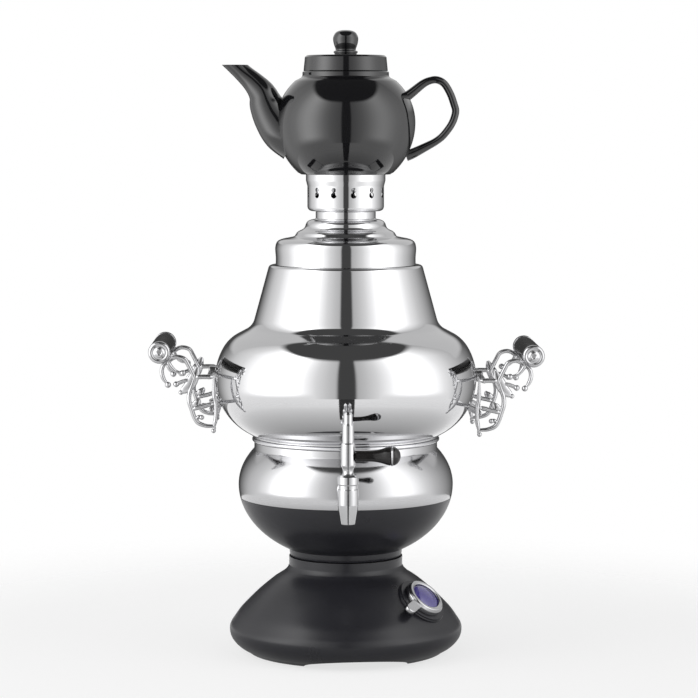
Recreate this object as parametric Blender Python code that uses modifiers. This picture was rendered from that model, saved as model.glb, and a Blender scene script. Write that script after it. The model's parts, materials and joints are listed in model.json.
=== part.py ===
"""Electric samovar with a teapot on its crown.

Metres, +Z up, front along -Y. The origin is on the surface it stands on, midway between the
front of the tap and the back of the bulge. The turned stack is built on its own axis, from the
bottom up: each piece takes its height from the one that carries it. A last step moves it all
back from the origin.
"""
import math

import bmesh
import bpy
import numpy as np
from mathutils import Matrix, Vector

# Clearances and facets
GAP = 0.0003                    # between pieces that touch
SLIP = 0.0006                   # round a piece that slides or is dropped in
OVERRUN = 0.003                 # how far a cutter passes the face it cuts
MERGE = 0.00001                 # points closer than this are one
SHARP_ANGLE = math.radians(35.0)
LARGE_STEPS = 32
MEDIUM_STEPS = 24
SMALL_STEPS = 16
FINE_STEPS = 8

# Foot
BASE_RIM_Z = 0.001              # the rim stays clear of the table, the pads carry
BASE_RADIUS = 0.105
BASE_RIM_INSET = 0.017
BASE_RIM_RADIUS = BASE_RADIUS - BASE_RIM_INSET
BASE_WIDEST_Z = 0.021
BASE_DOME_TOP_Z = 0.0775
BASE_WALL = 0.0028
NECK_RADIUS = 0.0512
NECK_HEIGHT = 0.0095
DOME_SHARES = (
    (0.03, 0.965), (0.105, 0.90), (0.243, 0.814), (0.46, 0.645), (0.688, 0.442), (0.86, 0.265),
    (0.965, 0.115),
)
UNDER_SHARES = ((0.925, 0.68), (0.76, 0.47), (0.40, 0.175))
ARCH_COUNT = 3
ARCH_TURN = math.radians(5.9)
ARCH_WIDTH = 0.092
ARCH_HEIGHT = 0.0072
PLATE_Z = 0.009
PLATE_THICKNESS = 0.002
PLATE_MARGIN = 0.003
POST_INSET = 0.014              # the posts' circle inside the rim
POST_CIRCLE = BASE_RIM_RADIUS - POST_INSET
POST_TURN = math.radians(18.0)
POST_RADIUS = 0.0048
PAD_RADIUS = 0.009
PAD_CHAMFER = 0.001
SCREW_RADIUS = 0.0015
SCREW_HEAD_RADIUS = 0.0032
SCREW_HEAD_HEIGHT = 0.0022
SCREW_HEAD_Z = 0.0026
SCREW_BITE = 0.010

# Control on the foot
CONTROL_TURN = math.radians(54.8)
CONTROL_INSET = 0.0237
CONTROL_RADIUS = BASE_RADIUS - CONTROL_INSET
SEAT_RADIUS = 0.0235
SEAT_PROUD = 0.0008
SEAT_DEPTH = 0.008
SEAT_POCKET_RADIUS = 0.0205
SEAT_FLOOR = 0.0028
BEZEL_RADIUS = 0.0228
BEZEL_THICKNESS = 0.0008
SWITCH_BUSH_RADIUS = 0.005
SWITCH_NUT_RADIUS = 0.0080
SWITCH_NUT_HEIGHT = 0.0022
SWITCH_BUSH_PROUD = 0.0004
SWITCH_LENGTH = 0.030
SWITCH_WIDTH = 0.024
SWITCH_DEPTH = 0.022
SPINDLE_RADIUS = 0.003
SPINDLE_DEPTH = 0.006
KNOB_RADIUS = 0.0186
KNOB_WALL = 0.0016
KNOB_WEB = 0.0012
KNOB_POCKET_RADIUS = 0.0134
KNOB_RIM_HEIGHT = 0.0024
TAB_REACH = 0.0365
TAB_TURN = math.radians(13.0)    # down the slope from level
TAB_WIDTH = 0.0098
TAB_THICKNESS = 0.0042
LENS_HEIGHT = 0.0034
LENS_SHARES = ((0.50, 0.84), (0.80, 0.50))
LENS_EDGE = 0.0004

# Inlet at the back of the foot
INLET_INSET = 0.0105
INLET_FACE_Y = BASE_RADIUS - INLET_INSET
INLET_Z = 0.0278
INLET_PLATE = (0.050, 0.0225)
INLET_PLATE_THICKNESS = 0.0025
INLET_BODY = (0.0275, 0.0195)
INLET_BODY_DEPTH = 0.018
INLET_SOCKET = (0.0235, 0.0155)
INLET_SOCKET_DEPTH = 0.0155
INLET_MARGIN = 0.002
INLET_BLOCK_WALL = 0.0025
PIN_SIZE = (0.0020, 0.0040)
PIN_PITCH = 0.0070
PIN_SETBACK = 0.0035
PIN_TAIL = 0.006
EARTH_LIFT = 0.0028

# Black housing and steel bowl: one outline, parted at the seam
HOUSING_WALL = 0.0028
HOUSING_FLOOR_RADIUS = 0.0495
HOUSING_FOOT_RADIUS = 0.0512
HOUSING_FOOT_HEIGHT = 0.0066
HOUSING_HEIGHT = 0.0537
HOUSING_SECTIONS = 6
BOWL_RADIUS = 0.0967
BOWL_WIDEST_RISE = 0.0115       # above the seam
BOWL_LOWER_DROP = 0.069         # half height of the ellipse below the widest line
BOWL_UPPER_RISE = 0.062         # half height of the ellipse above it
BOWL_SHOULDER_RISE = 0.031
BOWL_HEIGHT = 0.0498
BOWL_SECTIONS = 4
WAIST_RADIUS = 0.0824
STEEL_WALL = 0.001
CLAMP_RADIUS = 0.009
CLAMP_WALL = 0.0016
CLAMP_TAIL = 0.009
CLAMP_NUT_RADIUS = 0.0145
CLAMP_NUT_HEIGHT = 0.005
CLAMP_WINDOW_WIDTH = 0.011
CLAMP_WINDOW_HEIGHT = 0.018
CLAMP_WINDOW_RISE = 0.005

# Waist and body
BEAD_HEIGHT = 0.0038
BEAD_RADIUS = 0.0842
BEAD_INNER_RADIUS = 0.0796
BEAD_EDGE = 0.00115             # of its rounded corners
BODY_FOOT_RADIUS = 0.0832
BULGE_RADIUS = 0.1175
BULGE_ARC = 0.055
BULGE_RISE = 0.0525             # centre of the bulge above the body's foot
BULGE_ARC_DOWN = math.radians(60.0)
BULGE_ARC_UP = math.radians(41.0)
BULGE_UPPER_SECTIONS = 4
BULGE_LOWER_SECTIONS = 5
BODY_FOOT_SHARES = ((0.24, 0.30),)
CONE_FOOT_RADIUS = 0.0820
CONE_FOOT_RISE = 0.1059
CONE_TOP_RADIUS = 0.0713
CONE_TOP_RISE = 0.1450
COVE_SHARES = ((0.13, 0.27), (0.36, 0.57), (0.72, 0.82))
MOUTH_RISE = 0.1545
MOUTH_RADIUS = 0.0572
MOUTH_LIP = 0.006
MOUTH_EDGE = 0.0011
SHOULDER_SHARES = ((0.90, 0.40), (0.80, 0.78), (0.62, 1.0))

# Tank bottom and heater
TANK_FLOOR_RISE = 0.0032        # upper face above the seam
TANK_FLOOR_SKIRT = 0.006
HEATER_RADIUS = 0.00375
HEATER_RING = 0.060
HEATER_RISE = 0.0125
HEATER_LEG = (0.005, 0.044)
HEATER_TAIL = 0.012
HEATER_OPENING = math.radians(26.0)
HEATER_SECTIONS = 15
HEAD_RADIUS = 0.0135
HEAD_HEIGHT = 0.003
HEAD_NECK_RADIUS = 0.0100
HEAD_NECK_DROP = 0.008
HEAD_NUT_RADIUS = 0.0160
HEAD_NUT_HEIGHT = 0.005
HEAD_GASKET_HEIGHT = 0.002
CUTOUT_RADIUS = 0.0085
CUTOUT_HEIGHT = 0.0070
CUTOUT_Y = -0.024
WIRE_RADIUS = 0.0012
CAPILLARY_RADIUS = 0.0008
BULB_RADIUS = 0.0030
BULB_LENGTH = 0.028
BULB_Y = -0.043
TUBE_OFFSET_SHARE = 0.39        # how far off its axis the wires lie in the clamp tube
EARTH_POINT = (0.024, 0.030)

# Tap
TAP_RISE = 0.0075               # shank above the bowl's widest line
TAP_REACH = 0.0320              # barrel's axis in front of the bowl
SHANK_RADIUS = 0.006
SHANK_BORE_RADIUS = 0.0038
SHANK_INSIDE = 0.0110
TAP_WASHER_RADIUS = 0.0090
TAP_WASHER_THICKNESS = 0.0015
TAP_FLANGE_RADIUS = 0.0092
TAP_FLANGE_THICKNESS = 0.003
TAP_NUT_RADIUS = 0.0095
TAP_NUT_HEIGHT = 0.0045
TAP_NUT_CLEAR = 0.0034          # the bowl slopes away from the shank's axis
BARREL_RADIUS = 0.0089
BARREL_ABOVE = 0.017
BARREL_BELOW = 0.009
BARREL_CAP = 0.0018
NOZZLE_RADIUS = 0.0061
NOZZLE_LENGTH = 0.0168
NOZZLE_BORE_RADIUS = 0.0040
PLUG_RADIUS = 0.0056
PLUG_BELOW = 0.0080
PLUG_PORT_RADIUS = 0.0028
PLUG_NECK_RADIUS = 0.0044
COLUMN_RADIUS = 0.0063
COLUMN_RISE = 0.024             # foot of the column above the shank's axis
COLUMN_HEIGHT = 0.020
SPIRE_RADIUS = 0.00515
SPIRE_HEIGHT = 0.0165
FINIAL_RADIUS = 0.0039
FINIAL_HEIGHT = 0.0105
LEVER_RISE = 0.033              # lever's axis above the shank's axis
LEVER_TANG_RADIUS = 0.0026
LEVER_TANG_LENGTH = 0.012
LEVER_RADIUS = 0.0048
LEVER_BALL_RADIUS = 0.0084
LEVER_BALL_REACH = 0.0375
LEVER_END_REACH = 0.0450
LEVER_END_SHARES = ((0.62, 0.84), (0.90, 0.50))
LEVER_FLARE_REACH = 0.024
LEVER_GROOVE = 0.0008
LEVER_RING_WIDTH = 0.0022
LEVER_RING_PROUD = 0.0004

# Side handles
GRIP_RADIUS = 0.00975
GRIP_LENGTH = 0.0954
GRIP_X = 0.1647
GRIP_RISE = 0.0223              # above the upper boss
RIGHT_HANDLE_LIFT = 0.0016      # upper boss above the bulge's centre
LEFT_HANDLE_LIFT = 0.0054
EYE_RADIUS = 0.0099
EYE_LENGTH = 0.0075
EYE_DOME = 0.0020
CHEEK_Y = 0.0505
SCROLL_RADIUS = 0.0016
BAR_X = 0.1200
SCROLL_DROP = 0.0473            # lower end of the cheek below the upper boss
VOLUTE_CENTRE = (0.0324, 0.0049)
VOLUTE_RADIUS = 0.0117
VOLUTE_START = math.radians(200.0)
VOLUTE_TURN = math.radians(-290.0)
VOLUTE_SECTIONS = 10
VOLUTE_TIGHTENING = 0.18
STEM_SHARES = (
    (0.37, 0.82), (0.407, 0.685), (0.407, 0.548), (0.365, 0.41), (0.309, 0.247), (0.22, 0.145), (0.10, 0.095),
    (0.0, 0.085),
)
STEM_SCALE = 0.046
LEAF_SHARE = (0.495, 0.70)
LEAF_RADIUS = 0.0034
CURL_RADIUS = 0.0026
LOWER_BAR_DROP = 0.0255
CROSS_BAR_RADIUS = 0.0021
BOSS_RADIUS = 0.0055
UPPER_BOSS_LENGTH = 0.0062
LOWER_BOSS_LENGTH = 0.0088
BOSS_BORE_DEPTH = 0.0045
LOWER_BOSS_DROP = 0.026
BOLT_RADIUS = 0.0019
BOLT_HEAD_RADIUS = 0.0040
BOLT_HEAD_HEIGHT = 0.0022
BOLT_HEAD_CLEAR = 0.0012
GRIP_BOLT_RADIUS = 0.0018
GRIP_BOLT_HEAD_RADIUS = 0.0042
GRIP_BOLT_HEAD_HEIGHT = 0.0022
GRIP_BOLT_BITE = 0.005

# Lid and crown
LID_RADIUS = 0.0628
LID_HEIGHT = 0.0477
LID_NECK_RADIUS = 0.0269
LID_SHARES = (
    (0.000, 0.857), (0.128, 0.832), (0.220, 0.795), (0.259, 0.717), (0.287, 0.681), (0.393, 0.641),
    (0.474, 0.589), (0.510, 0.539), (0.699, 0.501), (0.900, 0.461), (0.989, 0.396), (1.011, 0.287),
    (1.000, 0.140), (1.000, 0.000),
)
GASKET_HEIGHT = 0.0017
GASKET_WIDTH = 0.0029
COLLAR_CLEAR = 0.0009
COLLAR_DEPTH = 0.0153
CROWN_RADIUS = 0.0343
CROWN_WALL = 0.001
CROWN_HEIGHT = 0.0337
CROWN_LIP_WIDTH = 0.0013
CROWN_LIP_HEIGHT = 0.0070
CROWN_FLOOR_SHARES = ((0.97, 0.09), (0.70, 0.029), (0.39, 0.0))
CROWN_HOLE_RADIUS = 0.0237
SLEEVE_WALL = 0.001
SLEEVE_FLANGE = 0.0022
SLEEVE_LIP = 0.0009
VENT_COUNT = 12
VENT_TURN = math.radians(11.0)
VENT_SMALL_RADIUS = 0.0021
VENT_LARGE_RADIUS = 0.0027
VENT_RISE = 0.0146              # large hole's centre above the crown's foot
VENT_STEP = 0.0046
VENT_SEGMENTS = 6

# Teapot
POT_RADIUS = 0.0623
POT_FOOT_RADIUS = 0.0405
POT_FOOT_DEPTH = 0.0013
POT_FOOT_CLEAR = 0.0010
POT_BELLY_RISE = 0.0447
POT_LOWER_DROP = 0.061
POT_UPPER_RISE = 0.054
POT_MOUTH_RISE = 0.0903
POT_RIM_RADIUS = 0.0386
POT_NECK_DROP = 0.0062
POT_MOUTH_RADIUS = 0.0312
POT_WALL = 0.004
POT_SECTIONS = 5
SPOUT_OUT = 0.0362              # the tip beyond the belly
SPOUT_TIP_REACH = POT_RADIUS + SPOUT_OUT
SPOUT_TIP_RISE = 0.0961
SPOUT_SHARES = (
    (0.46, 0.34, 0.0190), (0.62, 0.45, 0.0182), (0.685, 0.585, 0.0165), (0.738, 0.70, 0.0144),
    (0.80, 0.80, 0.0112), (0.895, 0.90, 0.0090), (1.0, 1.0, 0.0080), (1.07, 1.06, 0.0078),
)
SPOUT_WALL = 0.0032
SPOUT_SOLID_SECTIONS = 2
STRAINER_RADIUS = 0.0017
STRAINER_PITCH = 0.0056
STRAINER_COUNT = 6
EAR_OUT = 0.0360
EAR_REACH = POT_RADIUS + EAR_OUT
EAR_TOP_RISE = 0.0828
EAR_BOTTOM_RISE = 0.0152
EAR_RADIUS = 0.0033
EAR_SHARES = (                  # and the thickness as a share of the middle's
    (0.51, 0.73, 1.40), (0.60, 0.83, 1.25), (0.70, 0.945, 1.10), (0.765, 0.99, 1.0), (0.83, 1.0, 1.0),
    (0.895, 0.95, 1.0), (0.95, 0.82, 1.0), (0.985, 0.68, 1.0), (1.0, 0.59, 1.0), (0.985, 0.49, 1.0),
    (0.96, 0.41, 1.0), (0.925, 0.335, 1.0), (0.875, 0.25, 1.0), (0.815, 0.185, 1.0), (0.745, 0.13, 1.1),
    (0.615, 0.035, 1.35), (0.55, 0.0, 1.5),
)
POT_LID_RADIUS = 0.0376
POT_LID_TOP_RADIUS = 0.0352
POT_LID_HEIGHT = 0.0140
POT_LID_WALL = 0.0035
POT_LID_FLANGE_DEPTH = 0.0075
KNOB_TOP_RISE = 0.0364
POT_KNOB_RADIUS = 0.0112
POT_KNOB_SHARES = (
    (0.00, 1.00), (0.42, 0.985), (0.77, 0.91), (0.965, 0.76), (1.0, 0.60), (0.93, 0.42), (0.82, 0.27),
    (0.80, 0.20), (0.95, 0.155), (0.96, 0.095), (0.84, 0.055), (1.12, 0.02),
)

# Heights that follow from the stack
BASE_TOP_Z = BASE_DOME_TOP_Z + NECK_HEIGHT
PLATE_TOP_Z = PLATE_Z + PLATE_THICKNESS
HOUSING_Z = BASE_TOP_Z + GAP
SEAM_Z = HOUSING_Z + HOUSING_HEIGHT
BOWL_Z = SEAM_Z + GAP
BOWL_WIDEST_Z = SEAM_Z + BOWL_WIDEST_RISE
BOWL_TOP_Z = BOWL_Z + BOWL_HEIGHT
BEAD_Z = BOWL_TOP_Z + GAP
BODY_Z = BEAD_Z + BEAD_HEIGHT + GAP
BULGE_Z = BODY_Z + BULGE_RISE
BULGE_CENTRE = BULGE_RADIUS - BULGE_ARC
MOUTH_Z = BODY_Z + MOUTH_RISE
LID_Z = MOUTH_Z + GAP
LID_TOP_Z = LID_Z + LID_HEIGHT
CROWN_Z = LID_TOP_Z + GAP
CROWN_TOP_Z = CROWN_Z + CROWN_HEIGHT
POT_FLOOR_Z = CROWN_TOP_Z + GAP
POT_FOOT_Z = POT_FLOOR_Z - POT_FOOT_DEPTH
POT_BELLY_Z = POT_FLOOR_Z + POT_BELLY_RISE
POT_MOUTH_Z = POT_FLOOR_Z + POT_MOUTH_RISE
TANK_FLOOR_Z = SEAM_Z + TANK_FLOOR_RISE
TANK_UNDER_Z = TANK_FLOOR_Z - STEEL_WALL
HEAD_AXIS = (0, HEATER_LEG[1])
TAP_Z = BOWL_WIDEST_Z + TAP_RISE
BOWL_FRONT = BOWL_RADIUS * math.sqrt(1 - (TAP_RISE / BOWL_UPPER_RISE) ** 2)
TAP_Y = -(BOWL_FRONT + TAP_REACH)
AXIS_Y = (BARREL_RADIUS - TAP_Y - BULGE_RADIUS) / 2

MATERIALS = {
    "black_plastic": ((0.018, 0.019, 0.022, 1.0), 0.32, 0.0),
    "polished_steel": ((0.80, 0.80, 0.81, 1.0), 0.06, 1.0),
    "plain_steel": ((0.55, 0.55, 0.56, 1.0), 0.30, 1.0),
    "chrome": ((0.86, 0.86, 0.88, 1.0), 0.05, 1.0),
    "brass": ((0.72, 0.55, 0.24, 1.0), 0.25, 1.0),
    "copper": ((0.80, 0.45, 0.30, 1.0), 0.30, 1.0),
    "black_glaze": ((0.012, 0.012, 0.013, 1.0), 0.08, 0.0),
    "black_bakelite": ((0.015, 0.014, 0.014, 1.0), 0.22, 0.0),
    "blue_lens": ((0.16, 0.14, 0.55, 1.0), 0.10, 0.0),
    "silicone": ((0.75, 0.74, 0.70, 1.0), 0.60, 0.0),
    "rubber": ((0.03, 0.03, 0.03, 1.0), 0.70, 0.0),
    "wire_jacket": ((0.35, 0.20, 0.10, 1.0), 0.45, 0.0),
}


def new_collection(name):
    collection = bpy.data.collections.new(name)
    bpy.context.scene.collection.children.link(collection)
    return collection


def new_material(name):
    colour, roughness, metallic = MATERIALS[name]
    material = bpy.data.materials.new(name)
    material.use_nodes = True
    shader = material.node_tree.nodes["Principled BSDF"]
    shader.inputs["Base Color"].default_value = colour
    shader.inputs["Roughness"].default_value = roughness
    shader.inputs["Metallic"].default_value = metallic
    material.diffuse_color = colour
    return material


for old in list(bpy.data.objects):
    bpy.data.objects.remove(old, do_unlink=True)
PARTS = new_collection("samovar")
CUTTERS = new_collection("cutters")
FINISH = {name: new_material(name) for name in MATERIALS}


def add_object(name, data, matrix=None, finish=None):
    """Links data as a part where it has a finish, else as a hidden helper solid."""
    item = bpy.data.objects.new(name, data)
    item.matrix_world = matrix if matrix is not None else Matrix.Identity(4)
    if finish:
        PARTS.objects.link(item)
        data.materials.append(FINISH[finish])
    else:
        CUTTERS.objects.link(item)
        item.hide_render = True
        item.display_type = "WIRE"
    return item


def boolean(item, other, operation):
    modifier = item.modifiers.new(f"{operation.lower()} {other.name}", "BOOLEAN")
    modifier.operation = operation
    modifier.solver = "EXACT"
    modifier.object = other
    return item


def cut(item, *others):
    for other in others:
        boolean(item, other, "DIFFERENCE")
    return item


def unite(item, *others):
    for other in others:
        boolean(item, other, "UNION")
    return item


def turned(name, profile, steps, matrix=None, finish=None, wall=0):
    """Turns (radius, height) points about Z. With a wall, the outline is the outer skin of a shell."""
    points = [(radius, 0, height) for radius, height in profile]
    edges = [(k, k + 1) for k in range(len(points) - 1)]
    touches_axis = profile[0][0] == 0 and profile[-1][0] == 0
    if not wall and not touches_axis:
        edges.append((len(points) - 1, 0))
    mesh = bpy.data.meshes.new(name)
    mesh.from_pydata(points, edges, [])
    item = add_object(name, mesh, matrix, finish)
    screw = item.modifiers.new("turn", "SCREW")
    screw.axis = "Z"
    screw.steps = steps
    screw.render_steps = steps
    screw.use_merge_vertices = True
    screw.merge_threshold = MERGE
    if wall:
        solidify = item.modifiers.new("wall", "SOLIDIFY")
        solidify.thickness = wall
        solidify.offset = -1
        solidify.use_even_offset = True
    return item


def ring_profile(inner, outer, low, high):
    return [(inner, high), (outer, high), (outer, low), (inner, low)]


def rod_profile(radius, low, high):
    return [(0, high), (radius, high), (radius, low), (0, low)]


def rod(name, start, end, radius, segments=FINE_STEPS, finish=None):
    """A plain cylinder from one point to another."""
    start, end = Vector(start), Vector(end)
    along = end - start
    mesh = bpy.data.meshes.new(name)
    work = bmesh.new()
    bmesh.ops.create_cone(
        work, cap_ends=True, segments=segments, radius1=radius, radius2=radius, depth=along.length
    )
    work.to_mesh(mesh)
    work.free()
    matrix = Matrix.Translation((start + end) / 2) @ along.to_track_quat("Z", "Y").to_matrix().to_4x4()
    return add_object(name, mesh, matrix, finish)


def block(name, low, high, matrix=None, finish=None):
    """A box from its lowest to its highest corner."""
    low, high = Vector(low), Vector(high)
    mesh = bpy.data.meshes.new(name)
    work = bmesh.new()
    bmesh.ops.create_cube(work, size=1)
    bmesh.ops.scale(work, vec=high - low, verts=work.verts)
    bmesh.ops.translate(work, vec=(low + high) / 2, verts=work.verts)
    work.to_mesh(mesh)
    work.free()
    return add_object(name, mesh, matrix, finish)


def ball(name, centre, radius, finish=None):
    mesh = bpy.data.meshes.new(name)
    work = bmesh.new()
    bmesh.ops.create_uvsphere(work, u_segments=FINE_STEPS, v_segments=FINE_STEPS // 2, radius=radius)
    work.to_mesh(mesh)
    work.free()
    return add_object(name, mesh, Matrix.Translation(centre), finish)


def solid_mesh(item):
    """The evaluated mesh of an object, moved to where it stands."""
    bpy.context.view_layer.update()
    graph = bpy.context.evaluated_depsgraph_get()
    mesh = bpy.data.meshes.new_from_object(item.evaluated_get(graph))
    mesh.transform(item.matrix_world)
    return mesh


def tube(name, points, radius, resolution=1, shares=None, finish=None):
    """A round tube along points; shares scale its radius at each of them."""
    curve = bpy.data.curves.new(name, "CURVE")
    curve.dimensions = "3D"
    curve.bevel_depth = radius
    curve.bevel_resolution = resolution
    curve.use_fill_caps = True
    spline = curve.splines.new("POLY")
    spline.points.add(len(points) - 1)
    for k, point in enumerate(points):
        spline.points[k].co = (*point, 1)
        spline.points[k].radius = shares[k] if shares else 1
    holder = add_object(f"{name} path", curve)
    mesh = solid_mesh(holder)
    work = bmesh.new()
    work.from_mesh(mesh)
    bmesh.ops.remove_doubles(work, verts=work.verts, dist=MERGE / 10)
    work.to_mesh(mesh)
    work.free()
    mesh.materials.clear()
    bpy.data.objects.remove(holder, do_unlink=True)
    return add_object(name, mesh, None, finish)


def gather(name, pieces, finish=None):
    """Puts several separate solids into one object and removes the originals."""
    work = bmesh.new()
    for piece in pieces:
        mesh = solid_mesh(piece)
        work.from_mesh(mesh)
        bpy.data.meshes.remove(mesh)
    mesh = bpy.data.meshes.new(name)
    work.to_mesh(mesh)
    work.free()
    mesh.materials.clear()
    for piece in pieces:
        bpy.data.objects.remove(piece, do_unlink=True)
    return add_object(name, mesh, None, finish)


def around(turn, radius, height):
    """A point at an angle from the front, counted towards +X."""
    return Vector((radius * math.sin(turn), -radius * math.cos(turn), height))


def between(shares, start, end):
    """Points given as shares of the way from one (radius, height) to another."""
    return [
        (start[0] + (end[0] - start[0]) * u, start[1] + (end[1] - start[1]) * v)
        for u, v in shares
    ]


def ellipse(radius, rise, centre_z, first, last, sections):
    return [
        (radius * math.cos(angle), centre_z + rise * math.sin(angle))
        for angle in np.linspace(first, last, sections)
    ]


def height_on(profile, radius):
    """Height and slope of a falling outline at a radius."""
    for (r0, z0), (r1, z1) in zip(profile, profile[1:]):
        if r0 <= radius <= r1 and r1 > r0:
            slope = (z1 - z0) / (r1 - r0)
            return z0 + slope * (radius - r0), slope
    raise ValueError("the radius is outside the outline")


def hexagon_nut(name, bottom, top, radius, bore, finish=None):
    nut = rod(name, bottom, top, radius, segments=6, finish=finish)
    along = (Vector(top) - Vector(bottom)).normalized() * OVERRUN
    return cut(nut, rod(f"{name} bore", Vector(bottom) - along, Vector(top) + along, bore, SMALL_STEPS))


def base_outline():
    """Outer skin of the foot from the edge of its top, down the dome and under to the rim."""
    dome = between(DOME_SHARES, (NECK_RADIUS, BASE_WIDEST_Z), (BASE_RADIUS, BASE_DOME_TOP_Z))
    under = between(UNDER_SHARES, (BASE_RIM_RADIUS, BASE_RIM_Z), (BASE_RADIUS, BASE_WIDEST_Z))
    return [
        (NECK_RADIUS, BASE_TOP_Z), (NECK_RADIUS, BASE_DOME_TOP_Z), *dome,
        (BASE_RADIUS, BASE_WIDEST_Z), *under, (BASE_RIM_RADIUS, BASE_RIM_Z),
    ]


def post_turns():
    half_pitch = math.pi / ARCH_COUNT
    return [ARCH_TURN + half_pitch + POST_TURN + 2 * half_pitch * k for k in range(ARCH_COUNT)]


def control_frame():
    """Frame of the control: Z out of the dome, X level towards the front, Y down the slope."""
    height, slope = height_on(base_outline()[1:], CONTROL_RADIUS)
    outward = around(CONTROL_TURN, 1, 0)
    normal = (outward * -slope + Vector((0, 0, 1))).normalized()
    level = -around(CONTROL_TURN + math.pi / 2, 1, 0)
    down = normal.cross(level)
    matrix = Matrix((level, down, normal)).transposed().to_4x4()
    return Matrix.Translation(around(CONTROL_TURN, CONTROL_RADIUS, height)) @ matrix


def build_base():
    outline = base_outline()
    shell = turned(
        "base_shell", [(CLAMP_RADIUS + GAP, BASE_TOP_Z), *outline], LARGE_STEPS,
        finish="black_plastic", wall=BASE_WALL,
    )
    for k, turn in enumerate(post_turns()):
        height = height_on(outline[1:], POST_CIRCLE + POST_RADIUS)[0]
        post = rod(
            f"post {k}", around(turn, POST_CIRCLE, PLATE_TOP_Z + GAP),
            around(turn, POST_CIRCLE, height - BASE_WALL / 3), POST_RADIUS,
        )
        hole = rod(
            f"post hole {k}", around(turn, POST_CIRCLE, PLATE_Z),
            around(turn, POST_CIRCLE, PLATE_TOP_Z + SCREW_BITE + OVERRUN), SCREW_RADIUS + GAP,
        )
        unite(shell, post)
        cut(shell, hole)
    inlet_seat(shell, outline)
    control_seat(shell)
    for k in range(ARCH_COUNT):
        cut(shell, arch_cutter(k))


def arch_cutter(k):
    """A flattened log laid from inside the rim to outside the foot."""
    turn = ARCH_TURN + 2 * math.pi * k / ARCH_COUNT
    low = around(turn, BASE_RIM_RADIUS - ARCH_WIDTH / 4, 0)
    high = around(turn, BASE_RADIUS + OVERRUN, 0)
    log = rod(f"arch {k}", low, high, 1, segments=MEDIUM_STEPS)
    log.data.transform(Matrix.Diagonal((ARCH_WIDTH / 2, ARCH_HEIGHT, 1, 1)))
    turn_matrix = Matrix((around(turn + math.pi / 2, 1, 0), Vector((0, 0, 1)), around(turn, 1, 0)))
    log.matrix_world = Matrix.Translation((low + high) / 2 + Vector((0, 0, BASE_RIM_Z))) @ (
        turn_matrix.transposed().to_4x4()
    )
    return log


def control_seat(shell):
    frame = control_frame()
    middle = (SEAT_POCKET_RADIUS + SEAT_RADIUS) / 2
    room = turned(
        "room for the seat", rod_profile(middle, -SEAT_DEPTH - OVERRUN, SEAT_PROUD + 2 * OVERRUN),
        MEDIUM_STEPS, frame,
    )
    hole = SWITCH_BUSH_RADIUS + GAP
    cup = turned("control seat", [
        (hole, SEAT_PROUD), (SEAT_RADIUS, SEAT_PROUD), (SEAT_RADIUS, -SEAT_DEPTH),
        (SEAT_POCKET_RADIUS, -SEAT_DEPTH), (SEAT_POCKET_RADIUS, -SEAT_FLOOR), (hole, -SEAT_FLOOR),
    ], MEDIUM_STEPS, frame)
    unite(cut(shell, room), cup)


def inlet_seat(shell, outline):
    """A flat recess in the back of the dome, walled by a block cut to the dome's own outline."""
    half_width = INLET_PLATE[0] / 2 + INLET_MARGIN
    half_height = INLET_PLATE[1] / 2 + INLET_MARGIN
    low = INLET_Z - half_height
    high = INLET_Z + half_height
    inside = INLET_FACE_Y - INLET_BODY_DEPTH
    dome = turned("dome solid", [(0, BASE_TOP_Z), *outline, (0, BASE_RIM_Z)], LARGE_STEPS)
    walls = block(
        "inlet block",
        (-half_width - INLET_BLOCK_WALL, inside, low - INLET_BLOCK_WALL),
        (half_width + INLET_BLOCK_WALL, BASE_RADIUS, high + INLET_BLOCK_WALL),
    )
    boolean(walls, dome, "INTERSECT")
    pocket = block(
        "inlet pocket", (-half_width, inside - OVERRUN, low),
        (half_width, INLET_FACE_Y - BASE_WALL, high),
    )
    recess = block(
        "inlet recess", (-half_width, INLET_FACE_Y, low),
        (half_width, BASE_RADIUS + OVERRUN, high + BASE_RADIUS),
    )
    window = block(
        "inlet window",
        (-INLET_BODY[0] / 2 - GAP, inside, INLET_Z - INLET_BODY[1] / 2 - GAP),
        (INLET_BODY[0] / 2 + GAP, INLET_FACE_Y + OVERRUN, INLET_Z + INLET_BODY[1] / 2 + GAP),
    )
    cut(unite(shell, walls), recess, window, pocket)


def build_base_underside():
    """The plate, and at each post a pad with the screw that holds both."""
    plate = turned(
        "base_plate", rod_profile(BASE_RIM_RADIUS - PLATE_MARGIN, PLATE_Z, PLATE_TOP_Z), LARGE_STEPS,
        finish="black_plastic",
    )
    bore = SCREW_RADIUS + GAP
    seat = SCREW_HEAD_Z + SCREW_HEAD_HEIGHT + GAP
    head_bore = SCREW_HEAD_RADIUS + GAP
    neck = SCREW_HEAD_Z + SCREW_HEAD_HEIGHT
    top = PLATE_TOP_Z + SCREW_BITE
    for k, turn in enumerate(post_turns()):
        place = Matrix.Translation(around(turn, POST_CIRCLE, 0))
        cut(plate, turned(
            f"plate hole {k}", rod_profile(bore, PLATE_Z - OVERRUN, PLATE_TOP_Z + OVERRUN), FINE_STEPS, place
        ))
        turned(f"rubber_foot_{k + 1}", [
            (bore, PLATE_Z - GAP), (PAD_RADIUS, PLATE_Z - GAP), (PAD_RADIUS, PAD_CHAMFER),
            (PAD_RADIUS - PAD_CHAMFER, 0), (head_bore, 0), (head_bore, seat), (bore, seat),
        ], SMALL_STEPS, place, "rubber")
        turned(f"base_screw_{k + 1}", [
            (0, top), (SCREW_RADIUS, top), (SCREW_RADIUS, neck), (SCREW_HEAD_RADIUS, neck),
            (SCREW_HEAD_RADIUS, SCREW_HEAD_Z), (0, SCREW_HEAD_Z),
        ], FINE_STEPS, place, "plain_steel")


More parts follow.
